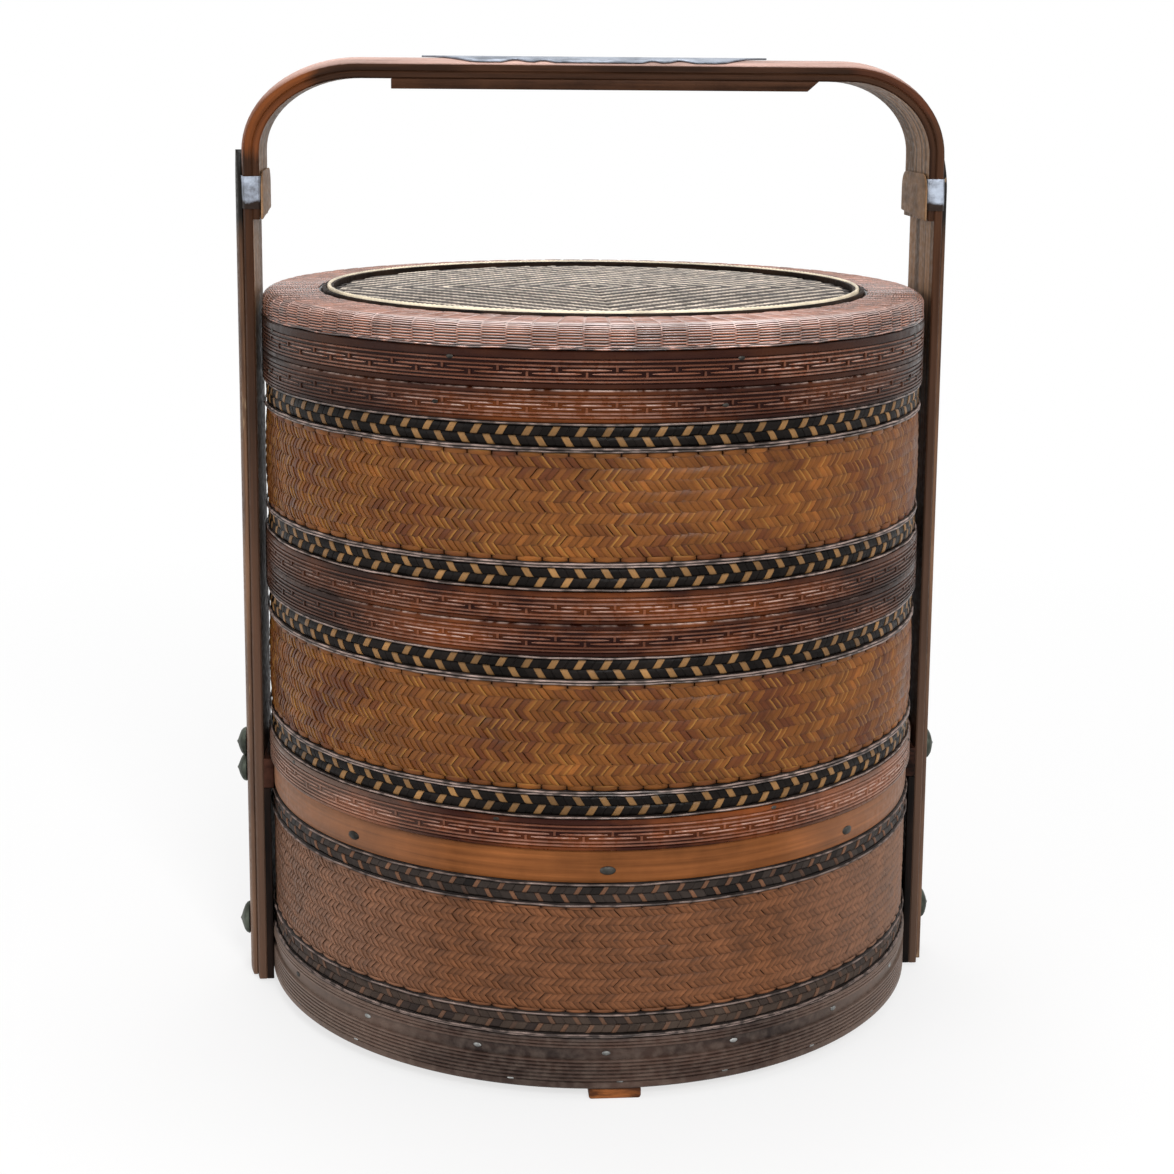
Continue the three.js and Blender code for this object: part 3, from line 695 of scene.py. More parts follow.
def slat_finish(
    name, dark, main, pale=None, inside=None, patches=(), dust=0.0, chips=None, flank=0.0, stretch=None,
    roughness=0.42,
):
    """Planed bamboo slat: long grain, darker lines, and paler upward faces, partly rubbed by hands and
    partly a painted sheen.

    The grain runs along the piece's own length, or by a stretch to the metre on each axis. Inside is
    (colour, level, half) for the faces further in than that level and within that half width: a few strips
    side by side, darkened low down by painted shade. Patches are (from, to, colour) in millimetres along the
    grain, dust is how dusty the slat gets towards the ground, flank is how far it turns to a pale painted
    sheen towards the sides, and chips are of bare wood.
    """
    material, shader, add = start_material(name, IOR=1.25, Specular_IOR_Level=0.2)
    place = add("TexCoord", output="Object")
    vector, stain = place, BOARD_STAIN
    if stretch is None:
        vector = add("Attribute", output="Vector", attribute_name="grain")
        stretch, stain = SLAT_GRAIN, SLAT_STAIN
    drawn = add("Mapping", {"Vector": vector, "Scale": stretch})
    stained = add("Mapping", {"Vector": vector, "Scale": stain})
    grain = add(
        "TexNoise", {"Vector": drawn, "Scale": 1.0, "Detail": 5.0, "Roughness": 0.62, "Distortion": 0.2}
    )
    broad = add("TexNoise", {"Vector": stained, "Scale": 1.0, "Detail": 4.0, "Roughness": 0.6})
    fine = add("TexNoise", {"Vector": place, "Scale": 340.0, "Detail": 3.0})
    value = add("Math", [broad, 0.8, grain], operation="MULTIPLY_ADD")
    level = add("MapRange", [value, 0.55, 1.2])
    stops = [(0.0, toned(dark, 0.5)), (0.35, dark), (0.72, main), (1.0, toned(main, 1.35))]
    hue = set_stops(add("ValToRGB", [level]), stops)
    axes = add("SeparateXYZ", [vector]).node.outputs
    height = add("SeparateXYZ", [place], "Z")
    streaks = add("MapRange", [level, 0.0, 1.0, 0.25, 1.6])
    for start, end, shade in patches:
        half = (end - start) / 2
        offset = add("Math", [axes["X"], (start + end) / 2], operation="SUBTRACT")
        away = add("Math", [offset], operation="ABSOLUTE")
        ragged = add("Math", [grain, -0.8 * half, away], operation="MULTIPLY_ADD")
        amount = add("MapRange", [ragged, 0.55 * half, 0.3 * half])
        grained = add("VectorMath", [shade[:3], streaks], operation="SCALE")
        hue = add("Mix", [amount, hue, grained], data_type="RGBA")
    if inside:
        shade, depth, half = inside
        further = add("Math", [axes["Z"], depth], operation="LESS_THAN")
        across = add("Math", [axes["Y"]], operation="ABSOLUTE")
        within = add("Math", [across, half], operation="LESS_THAN")
        hidden = add("Math", [further, within], operation="MULTIPLY")
        laid = add("Mapping", {"Vector": vector, "Scale": (0.0015, 0.16, 0.0)})
        side_by_side = add("TexNoise", {"Vector": laid, "Scale": 1.0, "Detail": 1.0})
        strips = add("MapRange", [side_by_side, 0.42, 0.52, 0.4, 1.0])
        # Painted shade: the inner faces darken low down, in the gap beside the basket
        blackened = add("MapRange", [height, 0.2, 0.4, 0.12, 1.0])
        strips = add("Math", [strips, blackened], operation="MULTIPLY")
        strips = add("Math", [strips, streaks], operation="MULTIPLY")
        grained = add("VectorMath", [shade[:3], strips], operation="SCALE")
        hue = add("Mix", [hidden, hue, grained], data_type="RGBA")
    if dust:
        low = add("MapRange", [height, 0.4, 0.12, 0.0, dust])
        hue = add("Mix", [low, hue, linear(GROUND_DUST)], data_type="RGBA")
    if chips:
        drawn = add("Mapping", {"Vector": place, "Scale": (240.0, 240.0, 36.0)})
        flaked = add("TexNoise", {"Vector": drawn, "Scale": 1.0, "Detail": 3.0})
        hue = add("Mix", [add("MapRange", [flaked, 0.66, 0.74]), hue, chips], data_type="RGBA")
    # Painted sheen: paler and greyer towards the sides
    if flank:
        hue = towards_sides(add, place, hue, flank)
    # Partly rubbed wear and partly painted sheen on faces that look up
    if pale:
        up = add("SeparateXYZ", [add("NewGeometry", output="Normal")], "Z")
        upward_sheen = add("MapRange", [up, 0.6, 0.95])
        patchy = add("MapRange", [broad, 0.3, 0.6, 0.3, 1.0])
        rubbed = add("Math", [upward_sheen, patchy], operation="MULTIPLY")
        hue = add("Mix", [rubbed, hue, pale], data_type="RGBA")
    gloss = [fine, 0.3, 0.7, roughness - 0.08, roughness + 0.2]
    link_surface(shader, add, hue, gloss, [0.3, 0.0004, grain])
    return material


def metal_finish(name, clean, tarnish, roughness, fades=False):
    """Hand-worked sheet metal or iron: dull, with darker tarnish in patches and fine pits.

    One that fades is tarnished all over where its tint is low.
    """
    material, shader, add = start_material(name, Metallic=1.0)
    place = add("TexCoord", output="Object")
    broad = add("TexNoise", {"Vector": place, "Scale": 70.0, "Detail": 5.0, "Roughness": 0.65})
    pits = add("TexNoise", {"Vector": place, "Scale": 420.0, "Detail": 3.0})
    kept = broad
    if fades:
        tint = add("Attribute", output="Fac", attribute_name="tint")
        kept = add("Math", [broad, add("MapRange", [tint, 0.0, 1.0, -0.25, 0.06])], operation="ADD")
    hue = set_stops(add("ValToRGB", [kept]), [(0.36, tarnish), (0.62, clean)])
    gloss = [broad, 0.35, 0.65, roughness + 0.2, roughness]
    link_surface(shader, add, hue, gloss, [0.35, 0.0004, pits])
    return material


# Woven walls


def shaded_bed(bottom, top, outer, shade=0.2):
    """A ring behind strands, so that no light comes through the gaps; its dark colour is painted shade
    between them.
    """
    bm = turned_ring([(WALL_RADIUS, bottom), (outer, bottom), (outer, top), (WALL_RADIUS, top)], 96, shade)
    set_points(bm, rise=0.2)
    return bm


def twill_wall(node, rows, floats, slope, border, across, rng, swell=0.0):
    """A wall of slanted floats in rows that lean left and right in turn, between two border rows.

    The wall may swell a little between its canes.
    """
    bottom, top, outer = span_of(node)
    bm = shaded_bed(bottom, top, WALL_RADIUS + TWILL_BED)
    row_height = (top - bottom - 2 * border) / rows
    wide = math.tau * outer / floats * TWILL_COVER
    for row in range(rows):
        part = splint(
            row_height + TWILL_OVERLAP, wide, crown=0.14, across=across,
            slope=slope if row % 2 else 180 - slope, tuck=2.6, tilt=0.2, edge=0.55,
        )
        turn = rng.uniform(-0.2, 0.2) * 360 / floats
        bulge = swell * (1 - (2 * (row + 0.5) / rows - 1) ** 4)
        set_at(part, outer - 0.5 + bulge, bottom + border + (row + 0.5) * row_height, turn)
        lay_round(bm, part, floats, rng, 0.2, 0.4)
    for height in (bottom + border * 0.45, top - border * 0.45):
        part = splint(BORDER_LONG, border * 1.05, dip=1.0, crown=0.3)
        set_at(part, outer - 0.25, height)
        lay_round(bm, part, BORDER_FLOATS, rng, 0.2, 0.15)
    return bm


class BASKET_OT_woven_walls(bpy.types.Operator):
    """Weave the three walls in herringbone twill"""

    bl_idname = "basket.woven_walls"
    bl_label = "Woven Walls"

    def execute(self, context):
        shades, counts = colours(), sizes()
        golden = splint_finish(
            "golden bamboo twill", shades.weave, shades.weave_red, 0.42, patch=22.0, gap=0.5, index=1.25,
            glint=1.5, edge_highlight=(shades.weave_edge_highlight, 0.3, 1.5),
        )
        dull = splint_finish(
            "dull bamboo twill", shades.base_weave, toned(shades.base_weave, 0.75), 0.6, gap=0.32,
            index=1.25, glint=1.15, edge_highlight=(toned(shades.base_weave, 1.25), 0.3, 1.5), flank=0.28,
        )
        rng = random.Random(11)
        for tier in ("middle", "top"):
            node = tier + "_woven_wall"
            wall = twill_wall(node, counts.twill_rows, counts.twill_floats, 52, 2.4, 2, rng, WALL_BULGE)
            stand_for(wall, node, [golden])
        wall = twill_wall("base_woven_wall", counts.base_rows, counts.base_floats, 48, 1.4, 1, rng)
        stand_for(wall, "base_woven_wall", [dull])
        return {"FINISHED"}


# Braids


def braid_band(node, upper_lean, tan_width, rng):
    """Two rows of slanted strips, one tan to two black, that lean opposite ways."""
    bottom, top, outer = span_of(node)
    bm = shaded_bed(bottom, top, WALL_RADIUS + BRAID_BED, 0.1)
    repeats = sizes().braid_repeats
    row_height = (top - bottom) / 2
    pitch = 360 / repeats
    reach = math.tau * outer / repeats
    black_width = (reach - tan_width) / 2
    places = (0, 0.5 * (tan_width + black_width), 0.5 * tan_width + 1.5 * black_width)
    for row, lean in ((0, -upper_lean), (1, upper_lean)):
        height = bottom + (row + 0.5) * row_height
        slope = BRAID_SLOPE if lean > 0 else 180 - BRAID_SLOPE
        for strip, along in enumerate(places):
            finish, wide, sunk = (0, black_width, 0.6) if strip else (1, tan_width, 0.35)
            part = splint(row_height, wide * BRAID_COVER, crown=0.1, finish=finish, slope=slope, tuck=6)
            set_at(part, outer - sunk, height, pitch * (along / reach + row * 0.5))
            lay_round(bm, part, repeats, rng, 0.1, 0.12)
    return bm


class BASKET_OT_braids(bpy.types.Operator):
    """Lay the six bands of black and tan strips"""

    bl_idname = "basket.braids"
    bl_label = "Braids"

    def execute(self, context):
        shades = colours()
        black, tan = shades.black_strip, shades.tan_strip
        fresh = [
            splint_finish("blackened bamboo strip", black, toned(black, 0.6), 0.35, index=1.15),
            splint_finish("tan bamboo strip", tan, toned(tan, 0.6), 0.42),
        ]
        dull = [
            splint_finish("dulled black strip", linear("#2d2622"), black, 0.5, gap=0.5, index=1.2),
            splint_finish("dulled tan strip", linear("#63432f"), linear("#3c2a20"), 0.55, gap=0.5),
        ]
        faded = [
            splint_finish(
                "faded black strip", linear("#3d322b"), linear("#2b2320"), 0.6, gap=0.6, index=1.2
            ),
            splint_finish("faded tan strip", linear("#573e2f"), linear("#3c2d25"), 0.6, gap=0.6),
        ]
        rng = random.Random(23)
        for tier in TIERS:
            width = 2.4 if tier == "base" else 3.7
            for place, lean, worn in (("lower", -1, faded), ("upper", 1, dull)):
                node = f"{tier}_{place}_braid"
                finishes = worn if tier == "base" else fresh
                stand_for(braid_band(node, lean, width, rng), node, finishes)
        return {"FINISHED"}


# Cane bindings


def wavy_strand(radius, height, thick, wander, rng, steps=480):
    """A thin round strand that runs round a band a little unevenly."""
    angles = [math.tau * i / 6 for i in range(6)]
    section = [(radius + thick * math.cos(a), height + thick * math.sin(a)) for a in angles]
    bm = turned_ring(section, steps)
    seed = rng.uniform(0, 50)
    tint, rise = bm.verts.layers.float["tint"], bm.verts.layers.float["rise"]
    for vert in bm.verts:
        out = outward(vert)
        spot = out + Vector((0, 0, seed))
        vert.co += out * wander * noise.noise(spot * 17.0)
        # The upper side of the strand gets more rise and its underside less, which the finish paints as
        # light and shade
        vert[rise] = 0.55 + 0.45 * max(-1.0, min(1.0, (vert.co.z - height) / thick))
        vert.co.z += wander * noise.noise(spot * 11.0)
        vert[tint] = 0.35 + 1.5 * noise.noise(spot * 41.0)
    return bm


def cane_band(node, rng):
    """One strand of cane, or a thick one over a thin one where the band is wider, on a bed darkened as
    painted shade.
    """
    bottom, top, outer = span_of(node)
    bm = shaded_bed(bottom, top, outer - CANE_SUNK, 0.0)
    wide = top - bottom
    strands = [((bottom + top) / 2, min(0.5, wide * 0.4))]
    if wide > CANE_DOUBLE:
        strands = [(top - 0.7, 0.55), (bottom + 0.55, 0.42)]
    for height, thick in strands:
        join_to(bm, wavy_strand(outer - thick - 0.2, height, thick, CANE_WANDER, rng))
    return bm


class BASKET_OT_canes(bpy.types.Operator):
    """Wind the cane bindings between the bands"""

    bl_idname = "basket.canes"
    bl_label = "Canes"

    def execute(self, context):
        cane = colours().cane
        pale = splint_finish("grey split cane", cane, toned(cane, 0.3), 0.36, patch=60.0, gap=0.06)
        dusty = splint_finish(
            "dusty split cane", toned(cane, 0.7), toned(cane, 0.2), 0.6, patch=60.0, gap=0.1
        )
        rng = random.Random(37)
        for tier in TIERS:
            for place in ("bottom", "lower", "upper", "top"):
                node = f"{tier}_{place}_cane"
                stand_for(cane_band(node, rng), node, [dusty if tier == "base" else pale])
        return {"FINISHED"}


# Hoops


def grooved_outline(bottom, top, inner, outer, grooves):
    """The outline of a hoop, with grooves given as [from, to, depth] down from the top edge."""
    points = [(inner, bottom), (outer - EDGE_ROUND, bottom), (outer, bottom + EDGE_ROUND)]
    for start, end, depth in reversed(grooves):
        points += [
            (outer, top - end), (outer - depth, top - end + GROOVE_SLOPE),
            (outer - depth, top - start - GROOVE_SLOPE), (outer, top - start),
        ]
    return points + [(outer, top - EDGE_ROUND), (outer - EDGE_ROUND, top), (inner, top)]


def mark_wear(bm, top, outer, plain, centre, reach, lit=0.0, line=0.0):
    """Raised lines near the middle of a hoop are worn, its grooves are dark and its edges plain.

    The top edge and the raised lines catch the light by the shares given.
    """
    rise, tint = bm.verts.layers.float["rise"], bm.verts.layers.float["tint"]
    for vert in bm.verts:
        radius = radius_of(vert)
        near = RIDGE_WEAR if abs(vert.co.z - centre) < reach else plain
        vert[rise] = near * max(0.0, 1 - (outer - radius) / 0.5)
        on_ridge = line if radius > outer - 0.1 and near == RIDGE_WEAR else 0
        vert[tint] = lit if vert.co.z > top - 0.1 and radius > outer - 2 else on_ridge


def fret_bar(middle, height, inner, outer, arc, worn=1.0, lit=0.0):
    """A small raised bar along a hoop, worn and lit on its upper edge, with its two ends drawn in."""
    bottom, top = middle - height / 2, middle + height / 2
    bm = start_shape()
    outline = [
        (inner, bottom), (outer - FRET_SOFT, bottom), (outer, bottom + FRET_SOFT),
        (outer, top - FRET_SOFT), (outer - FRET_SOFT, top), (inner, top),
    ]
    face = bm.faces.new([bm.verts.new((radius, 0, level)) for radius, level in outline])
    steps = max(1, round(arc))
    spin(bm, [face, *face.edges, *face.verts], steps, math.radians(arc))
    rise, tint = bm.verts.layers.float["rise"], bm.verts.layers.float["tint"]
    for vert in bm.verts:
        angle = math.degrees(math.atan2(vert.co.y, vert.co.x))
        outside = radius_of(vert) > outer - 0.3
        vert[tint] = lit if outside and vert.co.z > middle else 0
        vert[rise] = worn if outside else 0.1
        if steps > 1 and min(angle, arc - angle) < 0.2:
            vert.co.z = middle + 0.35 * (vert.co.z - middle)
    bmesh.ops.recalc_face_normals(bm, faces=bm.faces)
    return bm


def carved_hoop(node, drop=0.0, lit=0.0):
    """A hoop with incised lines and a fret of dashes and ticks in two rows."""
    bottom, top, outer = span_of(node)
    grooves = [(start + drop, end + drop, depth) for start, end, depth in CARVED_GROOVES]
    bm = turned_ring(grooved_outline(bottom, top, WALL_RADIUS, outer, grooves))
    mark_wear(bm, top, outer, 0.06, top - drop - CARVED_CENTRE, CARVED_REACH, lit, RIDGE_LIT)
    repeats = sizes().fret_repeats
    pitch = 360 / repeats
    dash = pitch * FRET_DASH_SHARE
    gap = (pitch - dash - FRET_TICK_ARC) / 2
    inner = outer - FRET_FLOOR - FRET_SUNK
    for row, level in enumerate(FRET_ROWS):
        height = top - drop - level
        start = row * pitch / 2
        lifted = -FRET_TICK_SHIFT if row else FRET_TICK_SHIFT
        bar = fret_bar(height, FRET_DASH_HEIGHT, inner, outer - 0.05, dash, 0.95, 0.7)
        tick = fret_bar(height + lifted, FRET_TICK_HEIGHT, inner, outer - 0.1, FRET_TICK_ARC, 0.5)
        for part, place in ((bar, start), (tick, start + dash + gap)):
            rotate(part, place)
            repeat(part, repeats)
            join_to(bm, part)
    return bm


class BASKET_OT_carved_hoops(bpy.types.Operator):
    """Carve the lacquered hoops of the tiers and the lid"""

    bl_idname = "basket.carved_hoops"
    bl_label = "Carved Hoops"

    def execute(self, context):
        shades = colours()
        worn, warm, deep = shades.lacquer, shades.lacquer_warm, shades.lacquer_deep
        lacquer = carved_finish("worn red-brown lacquer", worn, warm, deep, side_shade=0.65)
        dull = carved_finish(
            "side-sheened red-brown lacquer", toned(worn, 1.2), toned(warm, 1.3), toned(deep, 1.5), flank=0.35
        )
        rich = carved_finish("deep red-brown lacquer", toned(worn, 0.8), toned(warm, 0.62), deep, side_shade=0.5)
        dark = carved_finish("dark red-brown lacquer", toned(worn, 1.2), toned(warm, 0.2), deep, side_shade=0.45)
        for node, finish, drop, lit in (
            ("middle_bottom_hoop", dull, 0.0, 0.0), ("middle_top_hoop", lacquer, 0.0, 1.0),
            ("top_bottom_hoop", lacquer, 0.0, 0.0), ("top_top_hoop", rich, 0.0, 1.0),
            ("lid_rim_hoop", dark, LID_HOOP_DROP, 0.0),
        ):
            stand_for(carved_hoop(node, drop, lit), node, [finish])
        return {"FINISHED"}


class BASKET_OT_base_hoops(bpy.types.Operator):
    """Turn the grooved foot hoop and the plain rim hoop"""

    bl_idname = "basket.base_hoops"
    bl_label = "Base Hoops"

    def execute(self, context):
        shades = colours()
        bottom, top, outer = span_of("base_foot_hoop")
        foot = turned_ring(grooved_outline(bottom, top, WALL_RADIUS, outer, FOOT_GROOVES))
        mark_wear(foot, top, outer, 0.4, (bottom + top) / 2 + 2, 11)
        dusty = carved_finish(
            "dusty dark lacquer", shades.foot, toned(shades.foot, 0.55), shades.foot_deep, 0.46, dust=0.3,
            index=1.25, flank=0.3,
        )
        stand_for(foot, "base_foot_hoop", [dusty])
        bottom, top, outer = span_of("base_rim_hoop")
        crowned = [
            (outer - RIM_CROWN * (2 * share - 1) ** 4, bottom + share * (top - bottom))
            for share in (i / 10 for i in range(11))
        ]
        rim = turned_ring([(WALL_RADIUS, bottom), *crowned, (WALL_RADIUS, top)])
        plain = slat_finish(
            "oiled plain bamboo", toned(shades.plain, 0.7), shades.plain, stretch=(10.0, 10.0, 420.0),
            roughness=0.4, flank=0.28,
        )
        stand_for(rim, "base_rim_hoop", [plain])
        return {"FINISHED"}


class BASKET_OT_liners(bpy.types.Operator):
    """Turn the board liners and give the floors their board finish"""

    bl_idname = "basket.liners"
    bl_label = "Liners"

    def execute(self, context):
        shades = colours()
        board = slat_finish(
            "bare bamboo board", toned(shades.board, 0.55), shades.board, stretch=(14.0, 14.0, 300.0),
            roughness=0.6,
        )
        for node in ("base_liner", "middle_liner", "top_liner", "lid_core_ring"):
            bottom, top, outer = span_of(node)
            inner, shoulder = outer - LINER_WALL, top - LINER_SOFT
            outline = [
                (inner, bottom), (outer, bottom), (outer, shoulder), (outer - LINER_SOFT, top),
                (inner + LINER_SOFT, top), (inner, shoulder),
            ]
            stand_for(turned_ring(outline), node, [board])
        for node in ("base_floor", "middle_floor", "top_floor", "lid_board"):
            panel = frame["nodes"][node].data
            panel.materials.clear()
            panel.materials.append(board)
        return {"FINISHED"}


# Lid


def shoulder_path(along, inset):
    """A place on the lid's shoulder as [radius, height, tip], by the distance from its lower edge."""
    bottom, top, outer = span_of("lid_wicker_shoulder")
    rise = top - bottom - SHOULDER_ROLL
    bend = SHOULDER_ROLL * math.pi / 2
    edge = outer - SHOULDER_ROLL
    if along < rise:
        return outer - inset, bottom + along, 0.0
    if along > rise + bend:
        return edge - (along - rise - bend), top - inset, 90.0
    angle = (along - rise) / SHOULDER_ROLL
    reach = SHOULDER_ROLL - inset
    height = top - SHOULDER_ROLL + reach * math.sin(angle)
    return edge + reach * math.cos(angle), height, math.degrees(angle)


class BASKET_OT_lid_shoulder(bpy.types.Operator):
    """Weave the wicker shoulder of the lid"""

    bl_idname = "basket.lid_shoulder"
    bl_label = "Lid Shoulder"

    def execute(self, context):
        shades, counts = colours(), sizes()
        rng = random.Random(41)
        bottom, top, outer = span_of("lid_wicker_shoulder")
        inner = span_of("lid_dark_ring")[2] + 0.3
        bed = span_of("lid_board")[1] + 0.3
        pitch = counts.wicker_pitch / MM
        reach = top - bottom + outer - inner + SHOULDER_ROLL * (math.pi / 2 - 2)
        core = [shoulder_path(reach * i / 24, 1.5)[:2] for i in range(25)]
        bm = turned_ring([(WALL_RADIUS, bottom), *core, (inner, bed), (WALL_RADIUS, bed)], 120, 0.3)
        # The core under the strands gets almost no rise, so that it shows as painted shade between them
        set_points(bm, rise=0.05)
        block_turn = 360 / counts.wicker_blocks
        low, high = WICKER_COVER
        for row in range(int((reach - WICKER_START - WICKER_END) / pitch)):
            for block in (0, 1):
                radius, height, tip = shoulder_path(WICKER_START + (row + 0.5 * block) * pitch, 0.9)
                long = math.tau * radius / counts.wicker_blocks + 1.2
                wide = pitch * (low + (high - low) * tip / 90)
                part = splint(long, wide, thick=0.7, dip=0.5, crown=0.42, tuck=5, edge=0.8, end_shade=0.4)
                rotate(part, -tip, "Y")
                set_at(part, radius, height, block * block_turn)
                lay_round(bm, part, counts.wicker_blocks // 2, rng, 0.1, 0.1)
        ribs = self.rib(reach)
        rotate(ribs, block_turn / 2)
        lay_round(bm, ribs, counts.wicker_blocks, rng, 0.05, 0.05)
        for height, thick in ((0.55, 0.5), (1.5, 0.45)):
            strand = wavy_strand(outer - 0.75, bottom + height, thick, 0.5, rng)
            rise, tint = strand.verts.layers.float["rise"], strand.verts.layers.float["tint"]
            for vert in strand.verts:
                vert[rise] *= 1.0 if vert[tint] > 0.75 else 0.35
            join_to(bm, strand)
        # The pale colour on faces that look up is a painted sheen, and the dark gaps between strands painted
        # shade
        wicker = splint_finish(
            "pinkish split wicker", shades.wicker, toned(shades.wicker, 0.42), 0.28, patch=24.0, gap=0.06,
            index=1.5, painted_sheen=linear("#f8e6e1"),
        )
        rib = splint_finish(
            "pale wicker rib", linear("#d3aea4"), linear("#84553f"), 0.35, patch=24.0, gap=0.2, index=1.45
        )
        stand_for(bm, "lid_wicker_shoulder", [wicker, rib], 180)
        return {"FINISHED"}

    def rib(self, reach):
        """A thin stake that shows between two blocks of strands, from the roll of the shoulder inwards."""
        sections = []
        for step in range(9):
            radius, height, tip = shoulder_path(RIB_START + (reach - RIB_START - RIB_END) * step / 8, 1.1)
            out = Vector((math.cos(math.radians(tip)), 0, math.sin(math.radians(tip)))) * RIB_HALF
            side = Vector((0, RIB_HALF, 0))
            sections.append([Vector((radius, 0, height)) + away for away in (out, side, -out, -side)])
        bm = loft(sections)
        set_points(bm, rise=0.8)
        for face in bm.faces:
            face.material_index = 1
        return bm


class BASKET_OT_lid_panel(bpy.types.Operator):
    """Weave the lid panel in dark and tan diamonds and set its two rings"""

    bl_idname = "basket.lid_panel"
    bl_label = "Lid Panel"

    def execute(self, context):
        shades, counts = colours(), sizes()
        rng = random.Random(53)
        bottom, top, outer = span_of("lid_woven_panel")
        top += PANEL_LIFT

        def domed(radius):
            return top - PANEL_DOME * (radius / outer) ** 2

        face = [(radius, domed(radius) - 1.2) for radius in range(0, 141, 10)]
        bm = turned_ring([*face, (outer, bottom), (0, bottom)], 96, 0.0, closed=False)
        # The body under the splints gets a low rise, which darkens it as painted shade between them
        set_points(bm, rise=PANEL_GROUND)
        pitch = counts.panel_pitch / MM
        cycle = PANEL_CYCLE * pitch
        limit = outer - PANEL_BORDER
        rows = int(limit / pitch)
        for row in range(-rows, rows + 1):
            level = row * pitch
            half = math.sqrt(limit ** 2 - level ** 2)
            for tan, start, share in ((1, 0, 0.36), (0, cycle / 2, 0.74)):
                first = (start - abs(level)) % cycle
                number = int((half - first - cycle * 0.25) / cycle) + 1
                if number < 1:
                    continue
                for side in (1, -1):
                    part = splint(
                        cycle * share, pitch * 0.9, thick=0.6, crown=0.3, along=3, finish=tan, tuck=3
                    )
                    points = len(part.verts)
                    rotate(part, -90, "Y")
                    rotate(part, 90)
                    bmesh.ops.translate(part, verts=part.verts, vec=(side * first, level, 0))
                    repeat(part, number, angle=0, step=(side * cycle, 0, 0))
                    vary(part, points, rng, 0.05, 0.05)
                    for vert in part.verts:
                        vert.co.z += domed(radius_of(vert)) - 0.45
                    join_to(bm, part)
        finishes = [
            splint_finish(name, shade, toned(shade, low), patch=40.0, gap=gap, index=index)
            for name, shade, low, gap, index in (
                ("dark bamboo splint", shades.panel_dark, 0.4, 0.15, 1.25),
                ("greyed tan splint", shades.panel_tan, 0.45, 0.2, 1.55),
            )
        ]
        stand_for(bm, "lid_woven_panel", finishes)
        self.set_rings(shades)
        return {"FINISHED"}

    def set_rings(self, shades):
        """Wraps the gold ring in fine cane, and sets a dark lip inside it and a dark ring outside it."""
        bottom, top, outer = span_of("lid_gold_ring")
        top += GOLD_LIFT
        half = GOLD_HALF
        centre = outer - half
        crown = [
            (centre + half * math.cos(a), top - half + half * math.sin(a))
            for a in (math.pi * i / 7 for i in range(8))
        ]
        ring = turned_ring([(centre - half, bottom), (outer, bottom), *crown], 1200)
        for vert in ring.verts:
            wrap = math.cos(GOLD_WRAPS * math.atan2(vert.co.y, vert.co.x) + 2 * (vert.co.z - bottom))
            drawn_in = 0.12 * (1 - wrap)
            vert.co -= outward(vert) * (drawn_in if radius_of(vert) > centre else -drawn_in)
            vert.co.z -= 0.14 * (1 - wrap) if vert.co.z > top - half else 0
        gold = splint_finish(
            "polished yellow cane", shades.gold, toned(shades.gold, 0.65), 0.35, index=1.45
        )
        stand_for(ring, "lid_gold_ring", [gold])
        dark = slat_finish(
            "black stained cane and painted shade", linear("#120d0a"), linear("#2c1f17"), stretch=(30.0, 30.0, 300.0),
            roughness=0.5,
        )
        inner = centre - half - 0.1
        lip = [
            (inner - LIP_WALL, bottom), (inner, bottom), (inner, top - 0.9), (inner - LIP_WALL, top - 1.1),
        ]
        # The lip's black is partly painted shade in the gap inside the gold ring
        make_piece(turned_ring(lip), "lid_inner_lip", body_of("lid_gold_ring"), [dark])
        bottom, _, outer = span_of("lid_dark_ring")
        top = span_of("lid_wicker_shoulder")[1] + DARK_RING_LIFT
        inner = outer - DARK_RING_WALL
        outline = [
            (inner, bottom), (outer, bottom), (outer, top - 0.9), (outer - 0.5, top - 0.3),
            ((inner + outer) / 2, top), (inner + 0.5, top - 0.3), (inner, top - 0.9),
        ]
        stand_for(turned_ring(outline), "lid_dark_ring", [dark])


# Carrying frame


def crowned_section(half, inner, outer, follows=False, soft=0.7, crown=BOW_CROWN, swell=0.0):
    """A section as [across, out] points, whose outer face follows the crown of the bow or swells above it.

    Its inner face is flat, or follows the crown too.
    """
    def crowned(share):
        return crown * (1 - (share * half / ARM_HALF) ** 2)

    shares = [i / 8 * 2 - 1 for i in range(9)]
    inside = [(s * (half - soft), inner + (crowned(s) if follows else 0)) for s in shares]
    outside = [(s * (half - soft), outer + crowned(s) + swell * (1 - s * s)) for s in reversed(shares)]
    lowest = inner + (crowned(1) if follows else 0)
    right = [(half, lowest + soft), (half, outer - soft + crowned(1))]
    left = [(-across, out) for across, out in reversed(right)]
    return [*inside, *right, *outside, *left]


def arch_height():
    """Height of the inner face of the bow at the middle of the arch."""
    return span_of("handle_inner_ply")[1] + PLY_GAP


